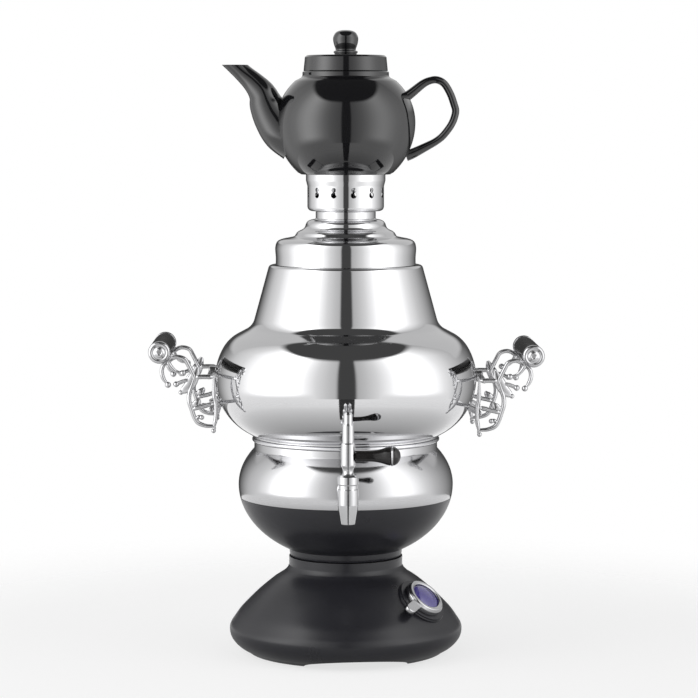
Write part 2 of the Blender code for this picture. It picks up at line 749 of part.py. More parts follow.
def build_control():
    """The switch behind the seat and what turns on it, stacked outwards from the dome."""
    frame = control_frame()
    bezel_low = SEAT_PROUD + GAP
    bezel_high = bezel_low + BEZEL_THICKNESS
    nut_low = bezel_high + GAP
    nut_high = nut_low + SWITCH_NUT_HEIGHT
    bush_high = nut_high + SWITCH_BUSH_PROUD
    web_low = bush_high + GAP
    web_high = web_low + KNOB_WEB
    rim_high = web_high + KNOB_RIM_HEIGHT
    turned(
        "control_bezel", ring_profile(SWITCH_BUSH_RADIUS + GAP, BEZEL_RADIUS, bezel_low, bezel_high),
        MEDIUM_STEPS, frame, "black_plastic",
    )
    nut = turned("thermostat_nut", rod_profile(SWITCH_NUT_RADIUS, nut_low, nut_high), 6, frame, "plain_steel")
    cut(nut, turned(
        "switch nut bore", rod_profile(SWITCH_BUSH_RADIUS + GAP, nut_low - OVERRUN, nut_high + OVERRUN),
        SMALL_STEPS, frame,
    ))
    box_high = -SEAT_FLOOR - GAP
    half = Vector((SWITCH_LENGTH, SWITCH_WIDTH, 0)) / 2
    body = block(
        "thermostat_body", (-half.x, -half.y, box_high - SWITCH_DEPTH), (half.x, half.y, box_high),
        frame, "black_bakelite",
    )
    bush = turned(
        "switch bush", rod_profile(SWITCH_BUSH_RADIUS, box_high - GAP, bush_high), SMALL_STEPS, frame,
    )
    bore = turned(
        "spindle bore", rod_profile(SPINDLE_RADIUS + GAP, -SPINDLE_DEPTH - GAP, bush_high + OVERRUN),
        SMALL_STEPS, frame,
    )
    cut(unite(body, bush), bore)
    turned("thermostat_spindle", rod_profile(SPINDLE_RADIUS, -SPINDLE_DEPTH, web_high), SMALL_STEPS, frame,
           "plain_steel")
    inner = KNOB_RADIUS - KNOB_WALL
    crest = (KNOB_POCKET_RADIUS + KNOB_RADIUS) / 2
    knob = turned("thermostat_knob", [
        (SPINDLE_RADIUS + GAP, web_high), (KNOB_POCKET_RADIUS, web_high),
        (KNOB_POCKET_RADIUS, rim_high - KNOB_RIM_HEIGHT / 4), (crest - KNOB_WALL / 2, rim_high),
        (crest + KNOB_WALL / 2, rim_high), (KNOB_RADIUS, rim_high - KNOB_RIM_HEIGHT),
        (KNOB_RADIUS, nut_low), (inner, nut_low), (inner, web_low), (SPINDLE_RADIUS + GAP, web_low),
    ], MEDIUM_STEPS, frame, "chrome")
    unite(knob, finger_tab(frame @ Matrix.Rotation(TAB_TURN, 4, "Z"), nut_low + KNOB_WEB / 2))
    lens = KNOB_POCKET_RADIUS - GAP
    low = web_high + GAP
    turned("knob_lens", [
        (0, low + LENS_HEIGHT), *between(LENS_SHARES, (0, low), (lens, low + LENS_HEIGHT)),
        (lens, low + LENS_EDGE), (lens, low), (0, low),
    ], MEDIUM_STEPS, frame, "blue_lens")


def finger_tab(frame, low):
    """The knob's tab: a flat outline with a round end, lying level."""
    half = TAB_WIDTH / 2
    end = TAB_REACH - half
    root = KNOB_RADIUS - KNOB_WALL / 2
    round_end = [
        (end + half * math.cos(angle), half * math.sin(angle))
        for angle in np.linspace(-math.pi / 2, math.pi / 2, FINE_STEPS)
    ]
    curve = bpy.data.curves.new("tab outline", "CURVE")
    curve.dimensions = "2D"
    curve.fill_mode = "BOTH"
    curve.extrude = TAB_THICKNESS / 2
    outline = [(root, -half), *round_end, (root, half)]
    spline = curve.splines.new("POLY")
    spline.points.add(len(outline) - 1)
    spline.use_cyclic_u = True
    for k, (x, y) in enumerate(outline):
        spline.points[k].co = (x, y, 0, 1)
    holder = add_object("tab path", curve, frame @ Matrix.Translation((0, 0, low + TAB_THICKNESS / 2)))
    tab = gather("finger tab", [holder])
    work = bmesh.new()
    work.from_mesh(tab.data)
    bmesh.ops.remove_doubles(work, verts=work.verts, dist=MERGE / 10)
    work.to_mesh(tab.data)
    work.free()
    return tab


def pin_places():
    """X and Z of the three pins."""
    return {
        "live": (-PIN_PITCH, INLET_Z),
        "earth": (0, INLET_Z + EARTH_LIFT),
        "neutral": (PIN_PITCH, INLET_Z),
    }


def build_inlet():
    """A snap-in inlet: its plate lies in the recess, its body goes through the wall."""
    back = INLET_FACE_Y + GAP
    face = back + INLET_PLATE_THICKNESS
    inside = INLET_FACE_Y - INLET_BODY_DEPTH

    def panel(name, size, low_y, high_y, finish=None):
        low = (-size[0] / 2, low_y, INLET_Z - size[1] / 2)
        high = (size[0] / 2, high_y, INLET_Z + size[1] / 2)
        return block(name, low, high, None, finish)

    inlet = panel("power_inlet", INLET_PLATE, back, face, "black_bakelite")
    unite(inlet, panel("inlet body", INLET_BODY, inside, back + INLET_PLATE_THICKNESS / 2))
    cut(inlet, panel("inlet socket", INLET_SOCKET, face - INLET_SOCKET_DEPTH, face + OVERRUN))
    half = Vector((PIN_SIZE[0] / 2, 0, PIN_SIZE[1] / 2))
    room = Vector((GAP, 0, GAP))
    for word, (x, z) in pin_places().items():
        centre = Vector((x, 0, z))
        low = centre - half + Vector((0, inside - PIN_TAIL, 0))
        high = centre + half + Vector((0, face - PIN_SETBACK, 0))
        block(f"inlet_pin_{word}", low, high, None, "brass")
        cut(inlet, block(f"pin hole {word}", low - room, high + room))


def build_housing():
    floor = HOUSING_Z + HOUSING_WALL
    hole = CLAMP_RADIUS + GAP
    edge = (HOUSING_FLOOR_RADIUS + HOUSING_FOOT_RADIUS) / 2

    def skin(inset, low_z, sections):
        drop = BOWL_LOWER_DROP - inset
        first = math.asin((BOWL_WIDEST_Z - SEAM_Z) / drop)
        last = math.asin((BOWL_WIDEST_Z - low_z) / drop)
        return ellipse(BOWL_RADIUS - inset, -drop, BOWL_WIDEST_Z, first, last, sections)

    turned("lower_housing", [
        *skin(0, HOUSING_Z + HOUSING_FOOT_HEIGHT, HOUSING_SECTIONS),
        (edge, HOUSING_Z + HOUSING_FOOT_HEIGHT / 3), (HOUSING_FLOOR_RADIUS, HOUSING_Z), (hole, HOUSING_Z),
        (hole, floor), *reversed(skin(HOUSING_WALL, floor, HOUSING_SECTIONS)),
    ], LARGE_STEPS, finish="black_plastic")


def clamp_end_z():
    return BASE_TOP_Z - BASE_WALL - CLAMP_TAIL


def build_clamp():
    """A tube under the tank draws housing and foot up against it and lets the wires through."""
    inner = CLAMP_RADIUS - CLAMP_WALL
    pipe = turned(
        "clamp_tube", ring_profile(inner, CLAMP_RADIUS, clamp_end_z(), TANK_UNDER_Z - GAP), SMALL_STEPS,
        finish="plain_steel",
    )
    low = HOUSING_Z + HOUSING_WALL + CLAMP_WINDOW_RISE
    half_width = CLAMP_WINDOW_WIDTH / 2
    reach = CLAMP_RADIUS + OVERRUN
    high = low + CLAMP_WINDOW_HEIGHT
    cut(pipe, block("clamp window", (-half_width, -reach, low), (half_width, reach, high)))
    top = BASE_TOP_Z - BASE_WALL - GAP
    hexagon_nut(
        "clamp_nut", (0, 0, top - CLAMP_NUT_HEIGHT), (0, 0, top), CLAMP_NUT_RADIUS, CLAMP_RADIUS + GAP,
        "plain_steel",
    )


def build_bowl():
    shoulder = math.asin(BOWL_SHOULDER_RISE / BOWL_UPPER_RISE)
    upper = ellipse(BOWL_RADIUS, BOWL_UPPER_RISE, BOWL_WIDEST_Z, shoulder, 0, BOWL_SECTIONS)
    seam = math.asin((BOWL_WIDEST_Z - BOWL_Z) / BOWL_LOWER_DROP)
    lower = ellipse(BOWL_RADIUS, -BOWL_LOWER_DROP, BOWL_WIDEST_Z, 0, seam, BOWL_SECTIONS - 1)
    neck = upper[0][1] + (BOWL_TOP_Z - upper[0][1]) / 3
    shell = turned("bowl_shell", [
        (WAIST_RADIUS, BOWL_TOP_Z), (WAIST_RADIUS, neck), *upper, *lower[1:],
    ], LARGE_STEPS, finish="polished_steel", wall=STEEL_WALL)
    cut(shell, rod("shank hole", (0, -BOWL_RADIUS - OVERRUN, TAP_Z), (0, -WAIST_RADIUS, TAP_Z),
                   SHANK_RADIUS + GAP, SMALL_STEPS))
    turned("waist_ring", [
        (BEAD_INNER_RADIUS, BEAD_Z + BEAD_HEIGHT), (WAIST_RADIUS, BEAD_Z + BEAD_HEIGHT),
        (BEAD_RADIUS, BEAD_Z + BEAD_HEIGHT - BEAD_EDGE), (BEAD_RADIUS, BEAD_Z + BEAD_EDGE),
        (WAIST_RADIUS, BEAD_Z), (BEAD_INNER_RADIUS, BEAD_Z),
    ], LARGE_STEPS, finish="chrome")


def body_outline():
    """Outer skin of the body from the lip inside the mouth, over the rim and down to the waist."""
    cone_top = (CONE_TOP_RADIUS, BODY_Z + CONE_TOP_RISE)
    cone_foot = (CONE_FOOT_RADIUS, BODY_Z + CONE_FOOT_RISE)
    upper = np.linspace(BULGE_ARC_UP, 0, BULGE_UPPER_SECTIONS)
    lower = np.linspace(0, -BULGE_ARC_DOWN, BULGE_LOWER_SECTIONS)
    arc = [
        (BULGE_CENTRE + BULGE_ARC * math.cos(angle), BULGE_Z + BULGE_ARC * math.sin(angle))
        for angle in [*upper, *lower[1:]]
    ]
    return [
        (MOUTH_RADIUS, MOUTH_Z - MOUTH_LIP), (MOUTH_RADIUS, MOUTH_Z - MOUTH_EDGE),
        (MOUTH_RADIUS + MOUTH_EDGE, MOUTH_Z),
        *reversed(between(SHOULDER_SHARES, (MOUTH_RADIUS, cone_top[1]), (CONE_TOP_RADIUS, MOUTH_Z))),
        cone_top, cone_foot,
        *between(COVE_SHARES, cone_foot, arc[0]), *arc,
        *reversed(between(BODY_FOOT_SHARES, (BODY_FOOT_RADIUS, BODY_Z), arc[-1])),
        (BODY_FOOT_RADIUS, BODY_Z),
    ]


def handle_z(side):
    """Height of a handle's upper boss. The two handles are not level with each other."""
    return BULGE_Z + (RIGHT_HANDLE_LIFT if side > 0 else LEFT_HANDLE_LIFT)


def boss_axes(side):
    """For both bosses of a handle: the point on the bulge, the way it points and its length."""
    upper = math.asin((handle_z(side) - BULGE_Z) / BULGE_ARC)
    lower = upper - math.asin(LOWER_BOSS_DROP / BULGE_ARC)
    axes = []
    for angle, length in ((upper, UPPER_BOSS_LENGTH), (lower, LOWER_BOSS_LENGTH)):
        normal = Vector((side * math.cos(angle), 0, math.sin(angle)))
        axes.append((Vector((side * BULGE_CENTRE, 0, BULGE_Z)) + normal * BULGE_ARC, normal, length))
    return axes


def build_body():
    shell = turned("body_shell", body_outline(), LARGE_STEPS, finish="polished_steel", wall=STEEL_WALL)
    for side in (-1, 1):
        for k, (point, normal, _) in enumerate(boss_axes(side)):
            cut(shell, rod(
                f"bolt hole {side} {k}", point - normal * OVERRUN, point + normal * OVERRUN,
                BOLT_RADIUS + GAP,
            ))


def build_tank_bottom():
    """The tank's bottom: its step rests on the housing's edge, its skirt centres it there."""
    seat = SEAM_Z + 2 * GAP
    low = SEAM_Z - TANK_FLOOR_SKIRT

    def outside(z):
        return BOWL_RADIUS * math.cos(math.asin((BOWL_WIDEST_Z - z) / BOWL_LOWER_DROP))

    rim = outside(SEAM_Z) - STEEL_WALL - 2 * GAP
    skirt = outside(low) - HOUSING_WALL - 2 * SLIP
    plate = turned("tank_bottom", [
        (0, TANK_FLOOR_Z), (rim, TANK_FLOOR_Z), (rim, seat), (skirt, seat), (skirt, low),
        (skirt - STEEL_WALL, low), (skirt - STEEL_WALL, TANK_UNDER_Z), (0, TANK_UNDER_Z),
    ], LARGE_STEPS, finish="plain_steel")
    cut(plate, rod(
        "heater hole", (*HEAD_AXIS, TANK_UNDER_Z - OVERRUN), (*HEAD_AXIS, TANK_FLOOR_Z + OVERRUN),
        HEAD_NECK_RADIUS + GAP, SMALL_STEPS,
    ))
    turned(
        "thermal_cutout", rod_profile(CUTOUT_RADIUS, cutout_z(), TANK_UNDER_Z - GAP), SMALL_STEPS,
        Matrix.Translation((0, CUTOUT_Y, 0)), "black_bakelite",
    )


def cutout_z():
    return TANK_UNDER_Z - GAP - CUTOUT_HEIGHT


def heater_end(side):
    return Vector((side * HEATER_LEG[0], HEATER_LEG[1], TANK_UNDER_Z - HEATER_TAIL))


def build_heater():
    """One open ring whose two ends go down through a head in the tank's bottom."""
    ring_z = TANK_FLOOR_Z + HEATER_RISE
    start = math.pi - HEATER_OPENING
    ring = [
        around(angle, HEATER_RING, ring_z)
        for angle in np.linspace(start, -start, HEATER_SECTIONS)
    ]
    ends = []
    for side in (1, -1):
        tail = heater_end(side)
        knee = Vector((tail.x, tail.y, ring_z - HEATER_RADIUS))
        shoulder = (knee + ring[0 if side == 1 else -1]) / 2
        shoulder.z = ring_z - HEATER_RADIUS / 4
        ends.append([tail, knee, shoulder])
    path = [*ends[0], *ring, *reversed(ends[1])]
    element = tube("heating_element", path, HEATER_RADIUS, finish="plain_steel")
    place = Matrix.Translation((*HEAD_AXIS, 0))
    gasket_low = TANK_FLOOR_Z + GAP
    gasket_high = gasket_low + HEAD_GASKET_HEIGHT
    head_low = gasket_high + GAP
    head_high = head_low + HEAD_HEIGHT
    neck_low = TANK_UNDER_Z - HEAD_NECK_DROP
    unite(element, turned("heater head", [
        (0, head_high), (HEAD_RADIUS, head_high), (HEAD_RADIUS, head_low), (HEAD_NECK_RADIUS, head_low),
        (HEAD_NECK_RADIUS, neck_low), (0, neck_low),
    ], SMALL_STEPS, place))
    turned(
        "element_gasket", ring_profile(HEAD_NECK_RADIUS + GAP, HEAD_RADIUS, gasket_low, gasket_high),
        SMALL_STEPS, place, "silicone",
    )
    nut_high = TANK_UNDER_Z - GAP
    hexagon_nut(
        "element_nut", (*HEAD_AXIS, nut_high - HEAD_NUT_HEIGHT), (*HEAD_AXIS, nut_high), HEAD_NUT_RADIUS,
        HEAD_NECK_RADIUS + GAP, "brass",
    )


def build_tap():
    front = -BOWL_FRONT
    washer_low = front - 3 * GAP
    washer_high = washer_low - TAP_WASHER_THICKNESS
    flange_low = washer_high - GAP
    flange_high = flange_low - TAP_FLANGE_THICKNESS
    along = Matrix.Translation((0, 0, TAP_Z)) @ Matrix.Rotation(math.pi / 2, 4, "X")
    turned("tap_washer", ring_profile(SHANK_RADIUS + GAP, TAP_WASHER_RADIUS, -washer_low, -washer_high),
           SMALL_STEPS, along, "silicone")
    turned("tap_flange", [
        (SHANK_RADIUS + GAP, -flange_high), (TAP_FLANGE_RADIUS - TAP_FLANGE_THICKNESS / 2, -flange_high),
        (TAP_FLANGE_RADIUS, -flange_high - TAP_FLANGE_THICKNESS / 2), (TAP_FLANGE_RADIUS, -flange_low),
        (SHANK_RADIUS + GAP, -flange_low),
    ], SMALL_STEPS, along, "chrome")
    nut_face = front + STEEL_WALL + TAP_NUT_CLEAR
    hexagon_nut("tap_nut", (0, nut_face + TAP_NUT_HEIGHT, TAP_Z), (0, nut_face, TAP_Z), TAP_NUT_RADIUS,
                SHANK_RADIUS + GAP, "brass")
    upright = Matrix.Translation((0, TAP_Y, TAP_Z))
    bottom = -BARREL_BELOW - NOZZLE_LENGTH
    barrel = turned("tap_body", [
        (0, BARREL_ABOVE), (BARREL_RADIUS - BARREL_CAP, BARREL_ABOVE),
        (BARREL_RADIUS, BARREL_ABOVE - BARREL_CAP), (BARREL_RADIUS, -BARREL_BELOW),
        (NOZZLE_RADIUS, bottom), (0, bottom),
    ], SMALL_STEPS, upright, "chrome")
    shank = rod("shank", (0, TAP_Y + PLUG_RADIUS, TAP_Z), (0, front + SHANK_INSIDE, TAP_Z), SHANK_RADIUS,
                SMALL_STEPS)
    plug_bore = PLUG_RADIUS + GAP
    plug_low = -PLUG_BELOW
    step_z = plug_low - GAP
    bore = turned("plug and nozzle bore", [
        (0, BARREL_ABOVE + OVERRUN), (plug_bore, BARREL_ABOVE + OVERRUN), (plug_bore, step_z),
        (NOZZLE_BORE_RADIUS, step_z), (NOZZLE_BORE_RADIUS, bottom - OVERRUN), (0, bottom - OVERRUN),
    ], SMALL_STEPS, upright)
    way = rod("shank bore", (0, TAP_Y, TAP_Z), (0, front + SHANK_INSIDE + OVERRUN, TAP_Z), SHANK_BORE_RADIUS)
    cut(unite(barrel, shank), bore, way)
    column_low = COLUMN_RISE
    column_high = column_low + COLUMN_HEIGHT
    spire_high = column_high + SPIRE_HEIGHT
    finial_high = spire_high + FINIAL_HEIGHT
    step = BARREL_CAP / 2
    plug = turned("tap_plug", [
        (0, finial_high), (FINIAL_RADIUS / 2, finial_high - step / 3), (FINIAL_RADIUS, finial_high - step),
        (FINIAL_RADIUS, spire_high + step), (SPIRE_RADIUS, spire_high - step), (SPIRE_RADIUS, column_high),
        (COLUMN_RADIUS, column_high - step), (COLUMN_RADIUS, column_low + step),
        (PLUG_NECK_RADIUS, column_low - step), (PLUG_NECK_RADIUS, BARREL_ABOVE + BARREL_CAP),
        (PLUG_RADIUS, BARREL_ABOVE), (PLUG_RADIUS, plug_low), (PLUG_PORT_RADIUS, plug_low),
        (PLUG_PORT_RADIUS, PLUG_PORT_RADIUS), (0, PLUG_PORT_RADIUS),
    ], SMALL_STEPS, upright, "chrome")
    centre = Vector((0, TAP_Y, TAP_Z))
    socket = centre + Vector((0, 0, LEVER_RISE))
    reach = Vector((PLUG_RADIUS + OVERRUN, 0, 0))
    socket_end = socket + Vector((LEVER_TANG_LENGTH, 0, 0))
    port = rod("plug port", centre - reach, centre, PLUG_PORT_RADIUS)
    cut(plug, rod("lever socket", socket, socket_end, LEVER_TANG_RADIUS + GAP, SMALL_STEPS), port)
    build_lever(upright)


def build_lever(upright):
    """The lever lies along +X: its height in the profile is its reach from the plug's axis."""
    across = upright @ Matrix.Translation((0, 0, LEVER_RISE)) @ Matrix.Rotation(math.pi / 2, 4, "Y")
    root = COLUMN_RADIUS + GAP
    tang = root - COLUMN_RADIUS / 2
    groove_low = LEVER_BALL_REACH - LEVER_RING_WIDTH / 2
    groove_high = LEVER_BALL_REACH + LEVER_RING_WIDTH / 2
    groove = LEVER_BALL_RADIUS - LEVER_GROOVE
    flare = (LEVER_BALL_REACH + LEVER_FLARE_REACH) / 2
    turned("tap_lever", [
        (0, LEVER_END_REACH),
        *between(LEVER_END_SHARES, (0, groove_high), (LEVER_BALL_RADIUS, LEVER_END_REACH)),
        (LEVER_BALL_RADIUS, groove_high), (groove, groove_high), (groove, groove_low),
        (LEVER_BALL_RADIUS, groove_low), ((LEVER_RADIUS + LEVER_BALL_RADIUS) / 2 + LEVER_GROOVE, flare),
        (LEVER_RADIUS, LEVER_FLARE_REACH), (LEVER_RADIUS, root), (LEVER_TANG_RADIUS, root),
        (LEVER_TANG_RADIUS, tang), (0, tang),
    ], SMALL_STEPS, across, "black_bakelite")
    outer = LEVER_BALL_RADIUS + LEVER_RING_PROUD
    turned("tap_lever_ring", ring_profile(groove + GAP, outer, groove_low + GAP, groove_high - GAP),
           SMALL_STEPS, across, "chrome")


def volute_path():
    """The scroll from its inner end out to where it becomes the stem, as offsets from the bar's top."""
    points = []
    for k in range(VOLUTE_SECTIONS):
        share = 1 - k / (VOLUTE_SECTIONS - 1)
        angle = VOLUTE_START + VOLUTE_TURN * share
        radius = VOLUTE_RADIUS * (1 + VOLUTE_TIGHTENING * (1 - share))
        points.append((
            VOLUTE_CENTRE[0] + radius * math.cos(angle), VOLUTE_CENTRE[1] + radius * math.sin(angle),
        ))
    return points


def grip_centre(side):
    return Vector((side * GRIP_X, 0, handle_z(side) + GRIP_RISE))


def cheek(side, end):
    """One scroll of a handle, and what joins it: bars, leaf, curl and the eye that takes the grip."""
    y = end * CHEEK_Y
    label = f"{side} {end}"

    def place(x, z):
        return Vector((side * x, y, z))

    bar_z = handle_z(side)
    foot_z = bar_z - SCROLL_DROP
    volute = [(BAR_X + x, bar_z + z) for x, z in volute_path()]
    stem = [(BAR_X + STEM_SCALE * u, foot_z + SCROLL_DROP * v) for u, v in STEM_SHARES]
    scroll = tube(f"scroll {label}", [place(*p) for p in volute + stem], SCROLL_RADIUS)
    point, normal, length = boss_axes(side)[1]
    low_bar = point + normal * (length - CROSS_BAR_RADIUS)
    knee_z = bar_z - LOWER_BAR_DROP
    inner = tube(f"inner bar {label}", [
        place(*volute[-1]), place(BAR_X, bar_z), place(BAR_X, knee_z), Vector((low_bar.x, y, low_bar.z)),
        place(BAR_X - SCROLL_RADIUS, (low_bar.z + foot_z) / 2), place(BAR_X, foot_z),
    ], SCROLL_RADIUS)
    lower = tube(f"lower bar {label}", [place(BAR_X, knee_z), place(stem[1][0], knee_z)], SCROLL_RADIUS)
    leaf_x = BAR_X + STEM_SCALE * LEAF_SHARE[0]
    leaf = ball(f"leaf {label}", place(leaf_x, foot_z + SCROLL_DROP * LEAF_SHARE[1]), LEAF_RADIUS)
    curl = ball(f"curl {label}", place(*volute[0]), CURL_RADIUS)
    low = GRIP_LENGTH / 2 + GAP
    high = low + EYE_LENGTH
    crown = high + (EYE_DOME if end < 0 else 0)
    turn = Matrix.Rotation(-end * math.pi / 2, 4, "X")
    eye = turned(f"eye {label}", [
        (0, crown), (EYE_RADIUS / 2, (crown + high) / 2), (EYE_RADIUS - EYE_DOME, high),
        (EYE_RADIUS, high - EYE_DOME), (EYE_RADIUS, low), (0, low),
    ], SMALL_STEPS, Matrix.Translation(grip_centre(side)) @ turn)
    return [scroll, inner, lower, leaf, curl, eye]


def build_handle(side, word):
    """Both cheeks, the bars between them and the bosses on the bulge are one casting."""
    spans = []
    for label, (point, normal, length) in zip(("upper", "lower"), boss_axes(side)):
        centre = point + normal * (length - CROSS_BAR_RADIUS)
        across = Vector((0, CHEEK_Y, 0))
        spans.append(rod(f"{label} bar {side}", centre - across, centre + across, CROSS_BAR_RADIUS))
        spans.append(rod(f"{label} boss {side}", point + normal * GAP, point + normal * length, BOSS_RADIUS))
        mount_bolt(f"{word}_mount_bolt_{label}", point, normal)
    upper = spans[0]
    frame = add_object(f"{word}_handle_bracket", upper.data.copy(), upper.matrix_world.copy(), "chrome")
    unite(frame, *spans[1:], *cheek(side, -1), *cheek(side, 1))
    for point, normal, _ in boss_axes(side):
        start = point - normal * OVERRUN
        end = point + normal * BOSS_BORE_DEPTH
        cut(frame, rod(f"boss bore {side}", start, end, BOLT_RADIUS + GAP))
    build_grip(side, word, frame)


def mount_bolt(name, point, normal):
    """A bolt from inside the tank, its head behind the wall."""
    seat = -STEEL_WALL - BOLT_HEAD_CLEAR
    end = BOSS_BORE_DEPTH - SLIP
    matrix = Matrix.Translation(point) @ normal.to_track_quat("Z", "Y").to_matrix().to_4x4()
    turned(name, [
        (0, end), (BOLT_RADIUS, end), (BOLT_RADIUS, seat), (BOLT_HEAD_RADIUS, seat),
        (BOLT_HEAD_RADIUS, seat - BOLT_HEAD_HEIGHT), (0, seat - BOLT_HEAD_HEIGHT),
    ], FINE_STEPS, matrix, "plain_steel")


def build_grip(side, word, frame):
    """The grip, and the long bolt that holds it: in at the back, screwed into the front eye."""
    centre = grip_centre(side)
    half = Vector((0, GRIP_LENGTH / 2, 0))
    grip = rod(
        f"{word}_handle_grip", centre - half, centre + half, GRIP_RADIUS, SMALL_STEPS, "black_bakelite",
    )
    backwards = Matrix.Translation(centre) @ Matrix.Rotation(-math.pi / 2, 4, "X")
    head = GRIP_LENGTH / 2 + GAP + EYE_LENGTH + GAP
    tip = -GRIP_LENGTH / 2 - GAP - GRIP_BOLT_BITE
    turned(f"{word}_grip_bolt", [
        (0, head + GRIP_BOLT_HEAD_HEIGHT),
        (GRIP_BOLT_HEAD_RADIUS - GRIP_BOLT_HEAD_HEIGHT / 2, head + GRIP_BOLT_HEAD_HEIGHT),
        (GRIP_BOLT_HEAD_RADIUS, head), (GRIP_BOLT_RADIUS, head), (GRIP_BOLT_RADIUS, tip), (0, tip),
    ], FINE_STEPS, backwards, "plain_steel")
    bore = turned(
        f"grip bore {side}", rod_profile(GRIP_BOLT_RADIUS + GAP, tip - SLIP, head + OVERRUN), FINE_STEPS,
        backwards,
    )
    cut(grip, bore)
    cut(frame, bore)


def build_lid():
    steps = between(LID_SHARES, (LID_NECK_RADIUS, LID_Z), (LID_RADIUS, LID_TOP_Z))
    turned("lid_shell", [
        (CROWN_HOLE_RADIUS, LID_TOP_Z), (LID_NECK_RADIUS, LID_TOP_Z), *steps,
    ], LARGE_STEPS, finish="polished_steel", wall=STEEL_WALL)
    inside = LID_RADIUS - STEEL_WALL - GAP
    turned("lid_gasket", ring_profile(inside - GASKET_WIDTH, inside, LID_Z, LID_Z + GASKET_HEIGHT),
           LARGE_STEPS, finish="silicone")
    flange = LID_Z + GASKET_HEIGHT + GAP
    skirt = MOUTH_RADIUS - COLLAR_CLEAR
    turned("lid_collar", [
        (skirt - STEEL_WALL, flange + STEEL_WALL), (inside, flange + STEEL_WALL), (inside, flange),
        (skirt, flange), (skirt, flange - COLLAR_DEPTH), (skirt - STEEL_WALL, flange - COLLAR_DEPTH),
    ], LARGE_STEPS, finish="plain_steel")


def build_crown():
    lip = CROWN_RADIUS + CROWN_LIP_WIDTH
    inside = CROWN_RADIUS - CROWN_WALL
    lip_low = CROWN_TOP_Z - CROWN_LIP_HEIGHT
    outer_floor = between(CROWN_FLOOR_SHARES, (CROWN_HOLE_RADIUS, CROWN_Z), (CROWN_RADIUS, CROWN_TOP_Z))
    inner_floor = between(
        CROWN_FLOOR_SHARES, (CROWN_HOLE_RADIUS, CROWN_Z + CROWN_WALL), (inside, CROWN_TOP_Z + CROWN_WALL)
    )
    crown = turned("crown", [
        (inside, CROWN_TOP_Z), (CROWN_RADIUS + CROWN_LIP_WIDTH / 2, CROWN_TOP_Z),
        (lip, CROWN_TOP_Z - CROWN_LIP_WIDTH), (lip, lip_low + CROWN_LIP_WIDTH), (CROWN_RADIUS, lip_low),
        *outer_floor, (CROWN_HOLE_RADIUS, CROWN_Z), (CROWN_HOLE_RADIUS, CROWN_Z + CROWN_WALL),
        *reversed(inner_floor),
    ], MEDIUM_STEPS, finish="polished_steel")
    for label, radius, rise in (
        ("large vents", VENT_LARGE_RADIUS, VENT_RISE),
        ("small vents", VENT_SMALL_RADIUS, VENT_RISE + VENT_STEP),
    ):
        height = CROWN_Z + rise
        holes = []
        for k in range(VENT_COUNT):
            turn = VENT_TURN + 2 * math.pi * k / VENT_COUNT
            holes.append(rod(
                f"{label} {k}", around(turn, inside - OVERRUN, height),
                around(turn, CROWN_RADIUS + OVERRUN, height), radius, VENT_SEGMENTS,
            ))
        cut(crown, gather(label, holes))
    tube_outer = CROWN_HOLE_RADIUS - GAP
    tube_inner = tube_outer - SLEEVE_WALL
    flange_low = CROWN_Z + CROWN_WALL + GAP
    lip_high = LID_TOP_Z - STEEL_WALL - GAP
    turned("crown_sleeve", [
        (tube_inner, flange_low + SLEEVE_LIP), (tube_outer + SLEEVE_FLANGE, flange_low + SLEEVE_LIP),
        (tube_outer + SLEEVE_FLANGE, flange_low), (tube_outer, flange_low), (tube_outer, lip_high),
        (tube_outer + SLEEVE_FLANGE / 2, lip_high), (tube_outer + SLEEVE_FLANGE / 2, lip_high - SLEEVE_LIP),
        (tube_inner, lip_high - SLEEVE_LIP),
    ], MEDIUM_STEPS, finish="chrome")


def pot_outline():
    """Outer skin of the pot from its rim to the edge of its foot."""
    neck_z = POT_MOUTH_Z - POT_NECK_DROP
    upper = math.asin((neck_z - POT_BELLY_Z) / POT_UPPER_RISE)
    lower = math.asin((POT_BELLY_Z - POT_FOOT_Z) / POT_LOWER_DROP)
    return [
        *ellipse(POT_RADIUS, POT_UPPER_RISE, POT_BELLY_Z, upper, 0, POT_SECTIONS),
        *ellipse(POT_RADIUS, -POT_LOWER_DROP, POT_BELLY_Z, 0, lower, POT_SECTIONS)[1:],
    ]


def spout_path(inset, first):
    reach = SPOUT_TIP_REACH
    points = []
    radii = []
    for u, v, radius in SPOUT_SHARES[first:]:
        points.append(Vector((-reach * u, 0, POT_FLOOR_Z + SPOUT_TIP_RISE * v)))
        radii.append(radius - inset)
    return points, radii


def build_teapot():
    outline = pot_outline()
    foot_inner = CROWN_RADIUS + CROWN_LIP_WIDTH + POT_FOOT_CLEAR
    bevel = POT_FOOT_DEPTH / 2
    pot = turned("teapot_body", [
        (0, POT_MOUTH_Z), (POT_RIM_RADIUS - bevel, POT_MOUTH_Z), (POT_RIM_RADIUS, POT_MOUTH_Z - bevel),
        *outline[:-1], (POT_FOOT_RADIUS, POT_FOOT_Z), (foot_inner, POT_FOOT_Z), (foot_inner, POT_FLOOR_Z),
        (0, POT_FLOOR_Z),
    ], MEDIUM_STEPS, finish="black_glaze")
    spout_points, spout_radii = spout_path(0, 0)
    spout = tube("spout", spout_points, 1, 2, spout_radii)
    ear = tube("ear", [
        Vector((EAR_REACH * u, 0, POT_FLOOR_Z + EAR_BOTTOM_RISE + (EAR_TOP_RISE - EAR_BOTTOM_RISE) * v))
        for u, v, _ in EAR_SHARES
    ], EAR_RADIUS, 2, [share for _, _, share in EAR_SHARES])
    tip_z = POT_FLOOR_Z + SPOUT_TIP_RISE
    above = block(
        "above the spout", (-2 * SPOUT_TIP_REACH, -POT_RADIUS, tip_z),
        (-POT_RADIUS, POT_RADIUS, tip_z + POT_RADIUS),
    )
    unite(pot, spout, ear)
    cut(pot, above, pot_cavity(), spout_bore())
    cut(pot, strainer_holes())
    build_pot_lid()


